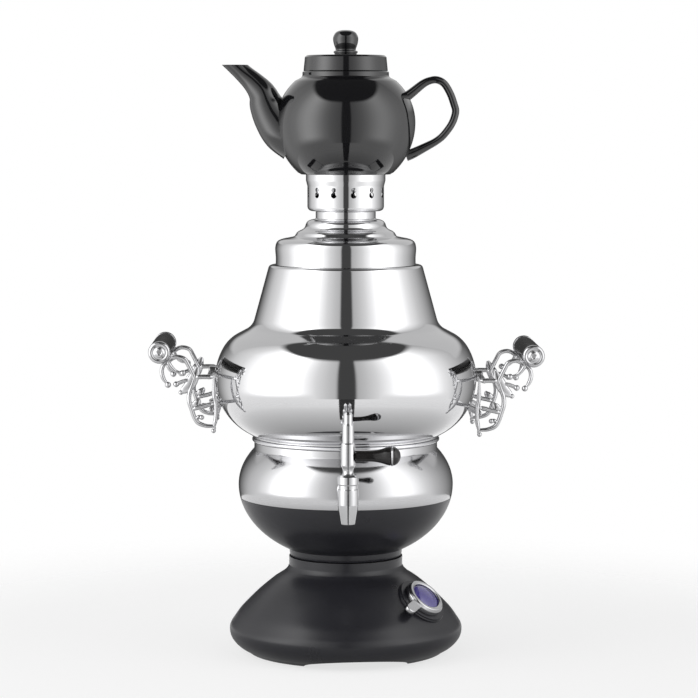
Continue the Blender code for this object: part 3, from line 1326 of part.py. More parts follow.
def pot_cavity():
    radius = POT_RADIUS - POT_WALL
    upper_rise = POT_UPPER_RISE - POT_WALL
    lower_drop = POT_LOWER_DROP - POT_WALL
    floor = POT_FLOOR_Z + POT_WALL
    upper = math.acos(POT_MOUTH_RADIUS / radius)
    lower = math.asin((POT_BELLY_Z - floor) / lower_drop)
    return turned("pot cavity", [
        (0, POT_MOUTH_Z + OVERRUN), (POT_MOUTH_RADIUS, POT_MOUTH_Z + OVERRUN),
        *ellipse(radius, upper_rise, POT_BELLY_Z, upper, 0, POT_SECTIONS),
        *ellipse(radius, -lower_drop, POT_BELLY_Z, 0, lower, POT_SECTIONS)[1:], (0, floor),
    ], MEDIUM_STEPS)


def spout_bore():
    points, radii = spout_path(SPOUT_WALL, SPOUT_SOLID_SECTIONS)
    return tube("spout bore", points, 1, 2, radii)


def strainer_holes():
    """A rosette of small holes through the pot's wall into the spout."""
    u, v, radius = SPOUT_SHARES[SPOUT_SOLID_SECTIONS]
    centre = Vector((0, 0, POT_FLOOR_Z + SPOUT_TIP_RISE * v))
    holes = []
    for k in range(STRAINER_COUNT + 1):
        angle = 2 * math.pi * k / STRAINER_COUNT
        offset = Vector((0, math.cos(angle), math.sin(angle))) * (STRAINER_PITCH if k < STRAINER_COUNT else 0)
        start = centre + offset - Vector((POT_RADIUS - 2 * POT_WALL, 0, 0))
        end = centre + offset - Vector((SPOUT_TIP_REACH * u + POT_WALL / 2, 0, 0))
        holes.append(rod(f"strainer hole {k}", start, end, STRAINER_RADIUS, 6))
    return gather("strainer holes", holes)


def build_pot_lid():
    low = POT_MOUTH_Z + GAP
    top = low + POT_LID_HEIGHT
    knob = between(POT_KNOB_SHARES, (0, top), (POT_KNOB_RADIUS, low + KNOB_TOP_RISE))
    flange = POT_MOUTH_RADIUS - SLIP
    inner = flange - POT_LID_WALL / 2
    crest = POT_LID_WALL / 3
    turned("teapot_lid", [
        *knob, (POT_LID_TOP_RADIUS - crest, top), (POT_LID_TOP_RADIUS + crest / 2, top - crest),
        (POT_LID_RADIUS, low + GAP), (POT_LID_RADIUS - GAP, low), (flange, low),
        (flange, low - POT_LID_FLANGE_DEPTH), (inner, low - POT_LID_FLANGE_DEPTH),
        (inner, low + POT_LID_WALL), (inner - POT_LID_WALL, top - POT_LID_WALL), (0, top - POT_LID_WALL),
    ], MEDIUM_STEPS, finish="black_glaze")


def build_wiring():
    """Wires and the thermostat's tube, each from one terminal to the next."""
    frame = control_frame()
    switch_face = -SEAT_FLOOR - 2 * GAP - SWITCH_DEPTH
    lead = 4 * WIRE_RADIUS

    def at_switch(x, y):
        return [frame @ Vector((x, y, switch_face)), frame @ Vector((x, y, switch_face - lead))]

    def at_pin(word):
        x, z = pin_places()[word]
        y = INLET_FACE_Y - INLET_BODY_DEPTH - PIN_TAIL - GAP
        return [Vector((x, y, z)), Vector((x, y - lead, z))]

    shift = CLAMP_RADIUS * TUBE_OFFSET_SHARE
    window_z = HOUSING_Z + HOUSING_WALL + CLAMP_WINDOW_RISE + CLAMP_WINDOW_HEIGHT / 2
    out_y = CLAMP_RADIUS + 2 * lead

    def up_the_tube(x, y):
        """In at the tube's lower end and out through its window, to the front or to the back."""
        out = Vector((x, math.copysign(out_y, y), window_z + lead))
        return [Vector((x, y, clamp_end_z() - lead)), Vector((x, y, window_z - lead)), out]

    def at_heater(side):
        end = heater_end(side) - Vector((0, 0, GAP))
        return [end - Vector((0, 0, lead)), end]

    terminal = CUTOUT_RADIUS / 2
    face_z = cutout_z() - GAP
    low_z = face_z - lead
    cutout_in = [Vector((terminal, CUTOUT_Y, low_z)), Vector((terminal, CUTOUT_Y, face_z))]
    cutout_out = [Vector((-terminal, CUTOUT_Y, face_z)), Vector((-terminal, CUTOUT_Y, low_z))]
    detour = CLAMP_RADIUS + lead
    earth = Vector((-EARTH_POINT[0], EARTH_POINT[1], TANK_UNDER_Z - GAP))
    half_switch = SWITCH_LENGTH / 4
    routes = {
        "wire_live": [
            *at_pin("live"), Vector((0, 0, INLET_Z)), *reversed(at_switch(half_switch, 0)),
        ],
        "wire_switched": [
            *at_switch(-half_switch, 0), *up_the_tube(shift, -shift), *cutout_in,
        ],
        "wire_heater": [
            *cutout_out, Vector((-detour, -detour / 2, low_z)), Vector((-detour, 2 * detour, low_z)),
            *at_heater(-1),
        ],
        "wire_neutral": [*at_pin("neutral"), *up_the_tube(shift, shift), *at_heater(1)],
        "wire_earth": [
            *at_pin("earth"), *up_the_tube(-shift, shift), earth - Vector((0, 0, 3 * lead)), earth,
        ],
    }
    for name, route in routes.items():
        tube(name, route, WIRE_RADIUS, finish="wire_jacket")
    bulb_z = TANK_UNDER_Z - GAP - BULB_RADIUS
    bulb_start = Vector((-BULB_LENGTH / 2, BULB_Y, bulb_z))
    bulb_end = bulb_start + Vector((BULB_LENGTH, 0, 0))
    entry = bulb_start - Vector((lead, 0, 0))
    path = [
        *at_switch(0, -SWITCH_WIDTH / 4), *up_the_tube(-shift, -shift), entry - Vector((0, 0, 3 * lead)),
        entry, bulb_start - Vector((GAP, 0, 0)), bulb_start, bulb_end,
    ]
    shares = [CAPILLARY_RADIUS / BULB_RADIUS] * (len(path) - 2) + [1, 1]
    tube("capillary", path, BULB_RADIUS, 1, shares, "copper")


def shade():
    """Smooth shading on round pieces, with their edges kept sharp."""
    for piece in [*PARTS.objects, *CUTTERS.objects]:
        piece.data.shade_smooth()
        piece.data.set_sharp_from_angle(angle=SHARP_ANGLE)


build_base()
build_base_underside()
build_control()
build_inlet()
build_housing()
build_clamp()
build_bowl()
build_body()
build_tank_bottom()
build_heater()
build_tap()
build_handle(-1, "left")
build_handle(1, "right")
build_lid()
build_crown()
build_teapot()
build_wiring()
shade()

stand = bpy.data.objects.new("stand", None)
PARTS.objects.link(stand)
stand.location.y = AXIS_Y
for piece in [*PARTS.objects, *CUTTERS.objects]:
    if piece != stand:
        piece.parent = stand
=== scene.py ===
"""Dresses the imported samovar: spun steel, cast scrolls, black glaze and satin plastic, in a pale studio.

Turned pieces are half outlines in millimetres, (distance from the axis, height), carried round by one
lathe tree. Tubes follow polylines with a thickness at each point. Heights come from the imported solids.
"""
import json
import math

import bmesh
import bpy
import numpy as np
from mathutils import Matrix, Vector


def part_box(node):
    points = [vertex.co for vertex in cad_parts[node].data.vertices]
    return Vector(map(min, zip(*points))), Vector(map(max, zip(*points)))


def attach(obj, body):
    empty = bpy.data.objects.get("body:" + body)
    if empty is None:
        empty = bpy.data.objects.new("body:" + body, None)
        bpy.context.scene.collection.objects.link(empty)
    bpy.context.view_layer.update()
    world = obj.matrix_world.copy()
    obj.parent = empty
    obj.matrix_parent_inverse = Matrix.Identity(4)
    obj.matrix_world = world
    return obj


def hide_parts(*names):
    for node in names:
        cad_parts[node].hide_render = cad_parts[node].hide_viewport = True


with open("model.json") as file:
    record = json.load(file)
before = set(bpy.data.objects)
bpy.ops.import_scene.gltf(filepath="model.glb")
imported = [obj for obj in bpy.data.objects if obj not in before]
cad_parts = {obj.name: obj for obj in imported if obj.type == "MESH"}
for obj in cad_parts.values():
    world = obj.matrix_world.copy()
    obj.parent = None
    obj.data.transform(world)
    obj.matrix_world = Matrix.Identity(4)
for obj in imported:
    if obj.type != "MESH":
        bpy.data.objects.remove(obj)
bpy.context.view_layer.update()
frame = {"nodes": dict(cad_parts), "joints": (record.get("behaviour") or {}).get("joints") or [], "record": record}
NODES = frame["nodes"]

MM = 0.001
TURNS = 144                     # facets round a large turned piece
CONTROL_TURNS = 96
SMALL_TURNS = 64
TUBE_SIDES = 20
CORNER_STEPS = 6                # facets in a rounded corner of an outline
GUARD = 0.35                    # share of a corner's radius kept flat beside it
SHARP = math.radians(38)

LYING = Matrix.Rotation(math.pi / 2, 4, "X")        # turns a lathed piece's axis to the front
SCENE = bpy.context.scene.collection


def low(node):
    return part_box(node)[0]


def high(node):
    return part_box(node)[1]


AXIS = Vector((0, (low("bowl_shell").y + high("bowl_shell").y) / 2, 0))
BASE_TOP = high("base_shell").z / MM
HOUSING_LOW = low("lower_housing").z / MM
SEAM = low("bowl_shell").z / MM
BOWL_TOP = high("bowl_shell").z / MM
BEAD_LOW = low("waist_ring").z / MM
BEAD_TOP = high("waist_ring").z / MM
BODY_LOW = low("body_shell").z / MM
MOUTH = high("body_shell").z / MM
LID_LOW = low("lid_shell").z / MM
LID_TOP = high("lid_shell").z / MM
CROWN_LOW = low("crown").z / MM
CROWN_TOP = high("crown").z / MM
POT_FOOT = low("teapot_body").z / MM

# in millimetres, as every outline is
BOWL_RADIUS = 96.7
BOWL_WIDEST = BOWL_TOP - 38.6
BULGE_CENTRE, BULGE_RISE, BULGE_RADIUS = 62.5, 52.5, 55.0       # its round side; the rise is above BODY_LOW
TUBE_HOLE = 9.3                 # half width of the clamp tube's hole through foot and housing
MOULDED_WALL = 2.8


# ------------ nodes and trees


def node(tree, kind, inputs=None, **settings):
    """Adds a node, sets its properties, then fills or links its inputs."""
    made = tree.nodes.new(kind)
    for key, value in settings.items():
        setattr(made, key, value)
    for key, value in (inputs or {}).items():
        socket = made.inputs[key]
        if isinstance(value, bpy.types.NodeSocket):
            tree.links.new(value, socket)
        else:
            socket.default_value = value
    return made


def maths(tree, operation, *values):
    return node(tree, "ShaderNodeMath", dict(enumerate(values)), operation=operation).outputs[0]


def linked(name, data):
    """A new object in the scene."""
    item = bpy.data.objects.new(name, data)
    SCENE.objects.link(item)
    return item


def new_tree(name, sizes):
    """A geometry tree with a geometry input and output, and a named input for each size."""
    tree = bpy.data.node_groups.new(name, "GeometryNodeTree")
    face = tree.interface
    face.new_socket("Geometry", in_out="INPUT", socket_type="NodeSocketGeometry")
    for label, kind in sizes:
        face.new_socket(label, in_out="INPUT", socket_type=f"NodeSocket{kind}")
    face.new_socket("Geometry", in_out="OUTPUT", socket_type="NodeSocketGeometry")
    return tree, node(tree, "NodeGroupInput").outputs


def close_tree(tree, given, geometry):
    """Ends a tree in Realize Instances and Set Material."""
    real = node(tree, "GeometryNodeRealizeInstances", {"Geometry": geometry})
    dressed = node(tree, "GeometryNodeSetMaterial", {"Geometry": real.outputs[0], "Material": given["Finish"]})
    node(tree, "NodeGroupOutput", {"Geometry": dressed.outputs[0]})
    return tree


def lathe_tree():
    """Carries the plan's points round Z: one column of a grid for each step."""
    tree, given = new_tree("lathe", (("Steps", "Int"), ("Finish", "Material")))
    rows = node(tree, "GeometryNodeAttributeDomainSize", {"Geometry": given["Geometry"]}).outputs["Point Count"]
    columns = node(tree, "FunctionNodeIntegerMath", {0: given["Steps"], 1: 1}, operation="ADD")
    grid = node(tree, "GeometryNodeMeshGrid", {"Vertices X": columns.outputs[0], "Vertices Y": rows})
    index = node(tree, "GeometryNodeInputIndex").outputs[0]
    column = node(tree, "FunctionNodeIntegerMath", {0: index, 1: rows}, operation="DIVIDE_FLOOR")
    row = node(tree, "FunctionNodeIntegerMath", {0: index, 1: rows}, operation="MODULO")
    place = node(tree, "GeometryNodeInputPosition").outputs[0]
    sample = node(
        tree, "GeometryNodeSampleIndex",
        {"Geometry": given["Geometry"], "Value": place, "Index": row.outputs[0]}, data_type="FLOAT_VECTOR",
    )
    angle = maths(tree, "MULTIPLY", maths(tree, "DIVIDE", column.outputs[0], given["Steps"]), 2 * math.pi)
    turned = node(
        tree, "ShaderNodeVectorRotate", {"Vector": sample.outputs[0], "Angle": angle}, rotation_type="Z_AXIS"
    )
    moved = node(tree, "GeometryNodeSetPosition", {
        "Geometry": grid.outputs["Mesh"], "Position": turned.outputs[0],
    })
    return close_tree(tree, given, moved.outputs[0])


def sweep_tree():
    """Runs a round section along the plan's line; its radius is read at each point."""
    tree, given = new_tree(
        "sweep", (("Sides", "Int"), ("Sections", "Int"), ("Flatness", "Float"), ("Finish", "Material"))
    )
    curve = node(tree, "GeometryNodeMeshToCurve", {"Mesh": given["Geometry"]})
    bent = node(tree, "GeometryNodeCurveSplineType", {"Curve": curve.outputs[0]}, spline_type="CATMULL_ROM")
    dense = node(tree, "GeometryNodeResampleCurve", {"Curve": bent.outputs[0], "Count": given["Sections"]})
    level = node(
        tree, "GeometryNodeSetCurveNormal", {"Curve": dense.outputs[0], "Normal": (0, 1, 0)}, mode="FREE"
    )
    thick = node(tree, "GeometryNodeInputNamedAttribute", {"Name": "thickness"}, data_type="FLOAT")
    circle = node(tree, "GeometryNodeCurvePrimitiveCircle", {"Resolution": given["Sides"], "Radius": 1})
    scale = node(tree, "ShaderNodeCombineXYZ", {"X": given["Flatness"], "Y": 1, "Z": 1})
    section = node(
        tree, "GeometryNodeTransform", {"Geometry": circle.outputs[0], "Scale": scale.outputs[0]}
    )
    tube = node(tree, "GeometryNodeCurveToMesh", {
        "Curve": level.outputs[0], "Profile Curve": section.outputs[0], "Scale": thick.outputs[0],
        "Fill Caps": True,
    })
    return close_tree(tree, given, tube.outputs[0])


LATHE = lathe_tree()
SWEEP = sweep_tree()


def grown(plan, tree, values):
    """The plain mesh that a tree makes of a plan. Inputs are set by identifier before it is evaluated."""
    holder = linked("plan", plan)
    modifier = holder.modifiers.new("growth", "NODES")
    modifier.node_group = tree
    for item in tree.interface.items_tree:
        if item.in_out == "INPUT" and item.name in values:
            modifier[item.identifier] = values[item.name]
    graph = bpy.context.evaluated_depsgraph_get()
    mesh = bpy.data.meshes.new_from_object(holder.evaluated_get(graph))
    bpy.data.objects.remove(holder, do_unlink=True)
    return mesh


MERGE = 0.000002                # metres within which points are one


def written(work, name):
    """The mesh that a bmesh holds."""
    mesh = bpy.data.meshes.new(name)
    work.to_mesh(mesh)
    work.free()
    return mesh


def tidy(mesh, matrix=None):
    """Closes seams and poles, turns faces outwards, puts the mesh in its place and shades it."""
    work = bmesh.new()
    work.from_mesh(mesh)
    bmesh.ops.remove_doubles(work, verts=work.verts, dist=MERGE)
    bmesh.ops.dissolve_degenerate(work, dist=MERGE / 2, edges=work.edges)
    bmesh.ops.recalc_face_normals(work, faces=work.faces)
    work.to_mesh(mesh)
    work.free()
    if matrix is not None:
        mesh.transform(matrix)
    mesh.shade_smooth()
    mesh.set_sharp_from_angle(angle=SHARP)
    return mesh


def carved(mesh, others, operation="DIFFERENCE"):
    """The mesh after cutting, or joining, the other meshes one by one."""
    holder = linked("blank", mesh)
    tools = [linked("tool", other) for other in others]
    for tool in tools:
        modifier = holder.modifiers.new("carve", "BOOLEAN")
        modifier.operation = operation
        modifier.solver = "EXACT"
        modifier.object = tool
    bpy.context.view_layer.update()
    graph = bpy.context.evaluated_depsgraph_get()
    made = bpy.data.meshes.new_from_object(holder.evaluated_get(graph))
    for item in [holder, *tools]:
        bpy.data.objects.remove(item, do_unlink=True)
    return made


# ------------ outlines


def rounded(corners, closed=False):
    """Points of an outline whose corners (r, z, radius) are rounded; a guard keeps the flats flat."""
    points = []
    count = len(corners)
    for k, corner in enumerate(corners):
        here = np.array(corner[:2], float)
        radius = corner[2] if len(corner) > 2 else 0
        if not radius or (not closed and k in (0, count - 1)):
            points.append(tuple(here))
            continue
        before = np.array(corners[k - 1][:2], float) - here
        after = np.array(corners[(k + 1) % count][:2], float) - here
        reach_before, reach_after = np.linalg.norm(before), np.linalg.norm(after)
        before, after = before / reach_before, after / reach_after
        half = math.acos(max(-1, min(1, float(before @ after)))) / 2
        setback = min(radius / math.tan(half), 0.49 * reach_before, 0.49 * reach_after)
        true_radius = setback * math.tan(half)
        middle = (before + after) / np.linalg.norm(before + after) * true_radius / math.sin(half) + here
        guard = min(GUARD * true_radius, 0.3 * (min(reach_before, reach_after) - setback))
        first, last = here + before * setback, here + after * setback
        points.append(tuple(here + before * (setback + guard)))
        start = math.atan2(*(first - middle)[::-1])
        sweep = (math.atan2(*(last - middle)[::-1]) - start + math.pi) % (2 * math.pi) - math.pi
        for step in range(CORNER_STEPS + 1):
            turn = start + sweep * step / CORNER_STEPS
            points.append((middle[0] + true_radius * math.cos(turn), middle[1] + true_radius * math.sin(turn)))
        points.append(tuple(here + after * (setback + guard)))
    return points


def arc(centre, radius, first, last, count):
    """Points on a circle's arc, angles in degrees above the level."""
    return [
        (centre[0] + radius * math.cos(angle), centre[1] + radius * math.sin(angle))
        for angle in np.radians(np.linspace(first, last, count))
    ]


def oval(radius, rise, centre, first, last, count):
    """Points on an ellipse about the axis, from one height to another."""
    angles = np.linspace(math.asin((first - centre) / rise), math.asin((last - centre) / rise), count)
    return [(radius * math.cos(angle), centre + rise * math.sin(angle)) for angle in angles]


def flowing(points, per_span=6):
    """A smooth line through points."""
    points = [np.array(p, float) for p in points]
    ends = [2 * points[0] - points[1], *points, 2 * points[-1] - points[-2]]
    made = []
    for a, b, c, d in zip(ends, ends[1:], ends[2:], ends[3:]):
        for t in np.linspace(0, 1, per_span, endpoint=False):
            square, cube = 2 * a - 5 * b + 4 * c - d, 3 * b - a - 3 * c + d
            made.append(tuple(0.5 * (2 * b + (c - a) * t + square * t * t + cube * t ** 3)))
    made.append(tuple(points[-1]))
    return made


def plan_mesh(points, loop=False, thickness=None):
    """A line as a mesh, in metres, with the thickness at each point where it has one."""
    mesh = bpy.data.meshes.new("plan")
    edges = [(k, k + 1) for k in range(len(points) - 1)]
    if loop:
        points = [*points, points[0]]
        edges.append((len(points) - 2, len(points) - 1))
    mesh.from_pydata([tuple(c * MM for c in p) for p in points], edges, [])
    if thickness:
        layer = mesh.attributes.new("thickness", "FLOAT", "POINT")
        layer.data.foreach_set("value", [t * MM for t in thickness])
    return mesh


def lathed(outline, steps=TURNS, matrix=None, finish=None):
    """A closed body of revolution from an outline that starts and ends on the axis, or is a loop."""
    loop = outline[0][0] > 0 or outline[-1][0] > 0
    plan = plan_mesh([(r, 0, z) for r, z in outline], loop)
    mesh = grown(plan, LATHE, {"Steps": steps, "Finish": finish})
    return tidy(mesh, matrix if matrix is not None else Matrix.Translation(AXIS))


def swept(points, thickness, sections, matrix=None, flatness=1, sides=TUBE_SIDES, finish=None):
    plan = plan_mesh(points, thickness=thickness)
    mesh = grown(plan, SWEEP, {"Sides": sides, "Sections": sections, "Flatness": flatness, "Finish": finish})
    return tidy(mesh, matrix if matrix is not None else Matrix.Translation(AXIS))


def box_mesh(lowest, highest):
    """A block between two corners, in metres."""
    lowest, highest = Vector(lowest), Vector(highest)
    work = bmesh.new()
    bmesh.ops.create_cube(work, size=1)
    bmesh.ops.scale(work, vec=highest - lowest, verts=work.verts)
    bmesh.ops.translate(work, vec=(lowest + highest) / 2, verts=work.verts)
    return written(work, "block")


def piece(name, mesh, body, replaced=(), finish=None):
    """Makes the mesh a piece of the object that rides on a body and stands for CAD nodes."""
    item = linked(name, mesh)
    if finish:
        mesh.materials.clear()
        mesh.materials.append(finish)
    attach(item, body)
    if replaced:
        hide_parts(*replaced)
    return item


# ------------ finishes


def bare_material(name):
    material = bpy.data.materials.new(name)
    material.use_nodes = True
    material.node_tree.nodes.clear()
    return material, material.node_tree


def shader(name, colour, roughness, metallic=0, **sockets):
    """A Principled material; plain values go straight to its sockets."""
    material, tree = bare_material(name)
    principled = node(tree, "ShaderNodeBsdfPrincipled", {
        "Base Color": (*colour, 1), "Roughness": roughness, "Metallic": metallic, **sockets,
    })
    node(tree, "ShaderNodeOutputMaterial", {"Surface": principled.outputs[0]})
    material.diffuse_color = (*colour, 1)
    return material, tree, principled


def object_place(tree):
    return node(tree, "ShaderNodeTexCoord").outputs["Object"]


def noise(tree, vector, scale, detail=2, roughness=0.5):
    return node(tree, "ShaderNodeTexNoise", {
        "Vector": vector, "Scale": scale, "Detail": detail, "Roughness": roughness,
    }).outputs["Fac"]


def ranged(tree, value, first, last, low_in=0.3, high_in=0.7, **settings):
    """A value brought from one range into another."""
    return node(tree, "ShaderNodeMapRange", {
        "Value": value, "From Min": low_in, "From Max": high_in, "To Min": first, "To Max": last,
    }, **settings).outputs["Result"]


def eased(*given):
    """Like ranged, but with a soft start and end."""
    return ranged(*given, interpolation_type="SMOOTHSTEP")


def off_axis(tree, vector):
    """How far a place is from the upright axis."""
    flat = node(tree, "ShaderNodeVectorMath", {0: vector, 1: (1, 1, 0)}, operation="MULTIPLY")
    return node(tree, "ShaderNodeVectorMath", {0: flat.outputs[0]}, operation="LENGTH").outputs["Value"]


def mixed(tree, factor, first, second):
    """A mix of two colours by a factor."""
    made = node(tree, "ShaderNodeMix", {"Factor": factor}, data_type="RGBA")
    for socket, value in ((made.inputs[6], first), (made.inputs[7], second)):
        socket.default_value = (*value, 1)
    return made.outputs[2]


def bumped(tree, principled, height, distance, strength=1):
    bump = node(tree, "ShaderNodeBump", {"Height": height, "Distance": distance, "Strength": strength})
    tree.links.new(bump.outputs[0], principled.inputs["Normal"])


def spun(tree):
    """Coordinates that run with the lathe: distance from the axis and height."""
    shift = node(tree, "ShaderNodeVectorMath", {0: object_place(tree), 1: -AXIS}, operation="ADD")
    parts = node(tree, "ShaderNodeSeparateXYZ", {0: shift.outputs[0]})
    reach = off_axis(tree, shift.outputs[0])
    return node(tree, "ShaderNodeCombineXYZ", {"X": reach, "Z": parts.outputs["Z"]}).outputs[0]


def spun_metal(name, colour, roughness, ring_scale, ring_depth, spread):
    """Polished sheet: faint rings from spinning, a soft cloud of wiping marks."""
    material, tree, principled = shader(name, colour, roughness, 1)
    rings = noise(tree, spun(tree), ring_scale, 3)
    cloud = noise(tree, object_place(tree), 14, 4, 0.6)
    both = maths(tree, "MULTIPLY", rings, cloud)
    tree.links.new(ranged(tree, both, roughness - spread, roughness + spread, 0.12, 0.42),
                   principled.inputs["Roughness"])
    tree.links.new(mixed(tree, cloud, [c * 0.97 for c in colour], [min(1, c * 1.02) for c in colour]),
                   principled.inputs["Base Color"])
    bumped(tree, principled, rings, ring_depth)
    return material


def grained(name, colour, roughness, scale, depth, spread, metallic=0, **sockets):
    """A moulded or cast surface: fine grain, cloudy gloss and a slight drift of colour."""
    material, tree, principled = shader(name, colour, roughness, metallic, **sockets)
    place = object_place(tree)
    grain = noise(tree, place, scale, 3)
    cloud = noise(tree, place, 22, 3)
    tree.links.new(ranged(tree, cloud, roughness - spread, roughness + spread), principled.inputs["Roughness"])
    tree.links.new(mixed(tree, cloud, [c * 0.85 for c in colour], [min(1, c * 1.12) for c in colour]),
                   principled.inputs["Base Color"])
    bumped(tree, principled, grain, depth)
    return material


FINISH = {
    "polished_steel": spun_metal("mirror_polished_steel", (0.70, 0.70, 0.71), 0.045, 900, 0.000004, 0.015),
    "brushed_steel": spun_metal("brushed_bowl_steel", (0.56, 0.56, 0.57), 0.12, 1400, 0.00001, 0.03),
    "plain_steel": spun_metal("plain_steel", (0.50, 0.50, 0.51), 0.28, 1500, 0.00001, 0.06),
    "chrome": grained("bright_chrome", (0.76, 0.76, 0.78), 0.05, 900, 0.000003, 0.015, 1),
    "worn_chrome": grained("worn_chrome", (0.58, 0.58, 0.59), 0.14, 900, 0.000005, 0.03, 1),
    "cast_chrome": grained("cast_chrome", (0.60, 0.60, 0.61), 0.18, 700, 0.00002, 0.04, 1),
    "brass": grained("turned_brass", (0.62, 0.42, 0.16), 0.26, 800, 0.00001, 0.06, 1),
    "copper": grained("drawn_copper", (0.70, 0.33, 0.20), 0.28, 800, 0.00001, 0.05, 1),
    "black_glaze": grained("black_glaze", (0.005, 0.005, 0.006), 0.07, 160, 0.00002, 0.02,
                           **{"Coat Weight": 0.8, "Coat Roughness": 0.03}),
    "black_plastic": grained("satin_black_plastic", (0.016, 0.016, 0.020), 0.30, 2600, 0.00001, 0.03),
    "black_bakelite": grained("black_bakelite", (0.012, 0.011, 0.011), 0.16, 900, 0.000006, 0.03),
    "blue_lens": grained("blue_lens", (0.075, 0.058, 0.27), 0.10, 300, 0.00001, 0.02,
                         **{"Coat Weight": 1.0, "Coat Roughness": 0.03}),
    "silicone": grained("white_silicone", (0.62, 0.61, 0.57), 0.55, 500, 0.00002, 0.05),
    "rubber": grained("black_rubber", (0.022, 0.022, 0.022), 0.70, 900, 0.00004, 0.06),
    "wire_jacket": grained("wire_jacket", (0.30, 0.16, 0.07), 0.42, 600, 0.00001, 0.05),
}


# ------------ spun steel


def build_steel():
    neck, wall = 82.4, 1.0
    upper = oval(BOWL_RADIUS, 62.0, BOWL_WIDEST, BOWL_WIDEST, BOWL_WIDEST + 31.0, 22)
    bowl_outer = [*oval(BOWL_RADIUS, 69.0, BOWL_WIDEST, SEAM, BOWL_WIDEST, 12)[:-1], *upper[:-1]]
    bowl_outer += rounded([bowl_outer[-1], upper[-1], (neck, BOWL_TOP - 6.0, 3.0), (neck, BOWL_TOP)])[1:]
    bowl = shell(bowl_outer, wall)
    hole_radius = 0.0063
    hole = cylinder_mesh((0, AXIS.y - 0.100, tap_height()), (0, AXIS.y - 0.080, tap_height()), hole_radius)
    brushed = FINISH["brushed_steel"]
    piece("bowl", tidy(carved(lathed(bowl), [hole])), "samovar", ["bowl_shell"], brushed)
    inside, outside = 79.6, 84.3
    bead = rounded([
        (inside, BEAD_LOW), (82.6, BEAD_LOW, 0.4), (outside, BEAD_LOW + 0.9, 1.0), (outside, BEAD_TOP - 0.9, 1.0),
        (82.6, BEAD_TOP, 0.4), (inside, BEAD_TOP),
    ])
    piece("waist_bead", lathed(bead, finish=FINISH["chrome"]), "samovar", ["waist_ring"])
    body = lathed(shell(body_line(), wall), finish=FINISH["polished_steel"])
    piece("body", body, "samovar", ["body_shell"])


def tap_height():
    return (low("tap_washer").z + high("tap_washer").z) / 2


def body_line():
    """Outer line of the body from the waist up over the bulge, the cone and the rim into the mouth."""
    waist, waist_lean = 83.2, math.radians(30)
    turn, shoulder_radius = 30, 32.5        # where the bulge's round side gives way to the shoulder, in degrees
    inward = BULGE_RADIUS - shoulder_radius
    centre = (BULGE_CENTRE, BODY_LOW + BULGE_RISE)
    slant = math.radians(turn)
    shoulder = (centre[0] + inward * math.cos(slant), centre[1] + inward * math.sin(slant))
    cone_foot, cone_top = (82.0, BODY_LOW + 105.9), (71.3, BODY_LOW + 145.0)
    lean = math.atan2(cone_foot[0] - cone_top[0], cone_top[1] - cone_foot[1])
    cove_radius = 15.0
    cove = (cone_foot[0] + cove_radius * math.cos(lean), cone_foot[1] + cove_radius * math.sin(lean))
    rim = (cone_top[0] - (MOUTH - cone_top[1]) * math.tan(lean), MOUTH)
    foot = arc(centre, BULGE_RADIUS, -60, -50, 3)
    bend = foot[0][1] - (foot[0][0] - waist) * math.tan(waist_lean)
    line = rounded([(waist, BODY_LOW), (waist, bend, 2.0), foot[0]])
    line += arc(centre, BULGE_RADIUS, -60, turn, 37)[1:]
    line += arc(shoulder, shoulder_radius, turn, 62, 18)[1:]
    line += arc(cove, cove_radius, 242, 180 + math.degrees(lean), 16)
    line += [
        (cone_foot[0] + (cone_top[0] - cone_foot[0]) * t, cone_foot[1] + (cone_top[1] - cone_foot[1]) * t)
        for t in np.linspace(0, 1, 9)[1:-1]
    ]
    line += rounded([cone_top, (*rim, 3.2), (57.9, MOUTH, 0.7), (57.2, MOUTH - 1.4, 0.5), (57.2, MOUTH - 6.0)])
    return line


def shell(outer, wall):
    """A closed outline: the outer line and the same line moved in by the wall."""
    points = np.array(outer)
    step = np.gradient(points, axis=0)
    step /= np.linalg.norm(step, axis=1)[:, None]
    inner = points + np.stack([-step[:, 1], step[:, 0]], axis=1) * wall
    return [*outer, *(tuple(p) for p in inner[::-1])]


def cylinder_mesh(start, end, radius, segments=32):
    """A plain rod used as a cutter."""
    start, end = Vector(start), Vector(end)
    work = bmesh.new()
    bmesh.ops.create_cone(
        work, cap_ends=True, segments=segments, radius1=radius, radius2=radius, depth=(end - start).length
    )
    mesh = written(work, "rod")
    mesh.transform(Matrix.Translation((start + end) / 2) @ pointing(end - start))
    return mesh


def pointing(direction):
    """Turns Z to a direction."""
    return direction.to_track_quat("Z", "Y").to_matrix().to_4x4()


def build_lid():
    steel = FINISH["polished_steel"]
    drum = [
        (62.8, 0), (62.7, 6), (63.1, 11.5), (63.2, 15), (62.4, 18.9), (60.6, 21.3), (57, 22.9), (51.5, 24),
        (46.9, 25), (45.6, 25.7),
    ]
    step = [(45.2, 26.4), (44.7, 27.2), (43.6, 28.8), (41.8, 30.1), (39.4, 31.2), (37.9, 32.1)]
    dome = [
        (37.2, 32.8), (36.4, 34.2), (35.8, 36), (34.9, 37.8), (33.4, 39.2), (31, 40.2), (28, 40.8),
        (26.9, 41.4),
    ]
    line = [(r, LID_LOW + z) for part in (drum, step, dome) for r, z in flowing(part, 4)]
    line += rounded([line[-1], (26.9, LID_TOP, 0.5), (23.7, LID_TOP)])[1:]
    piece("lid", lathed(shell(line, 0.9), finish=steel), "lid", ["lid_shell"])


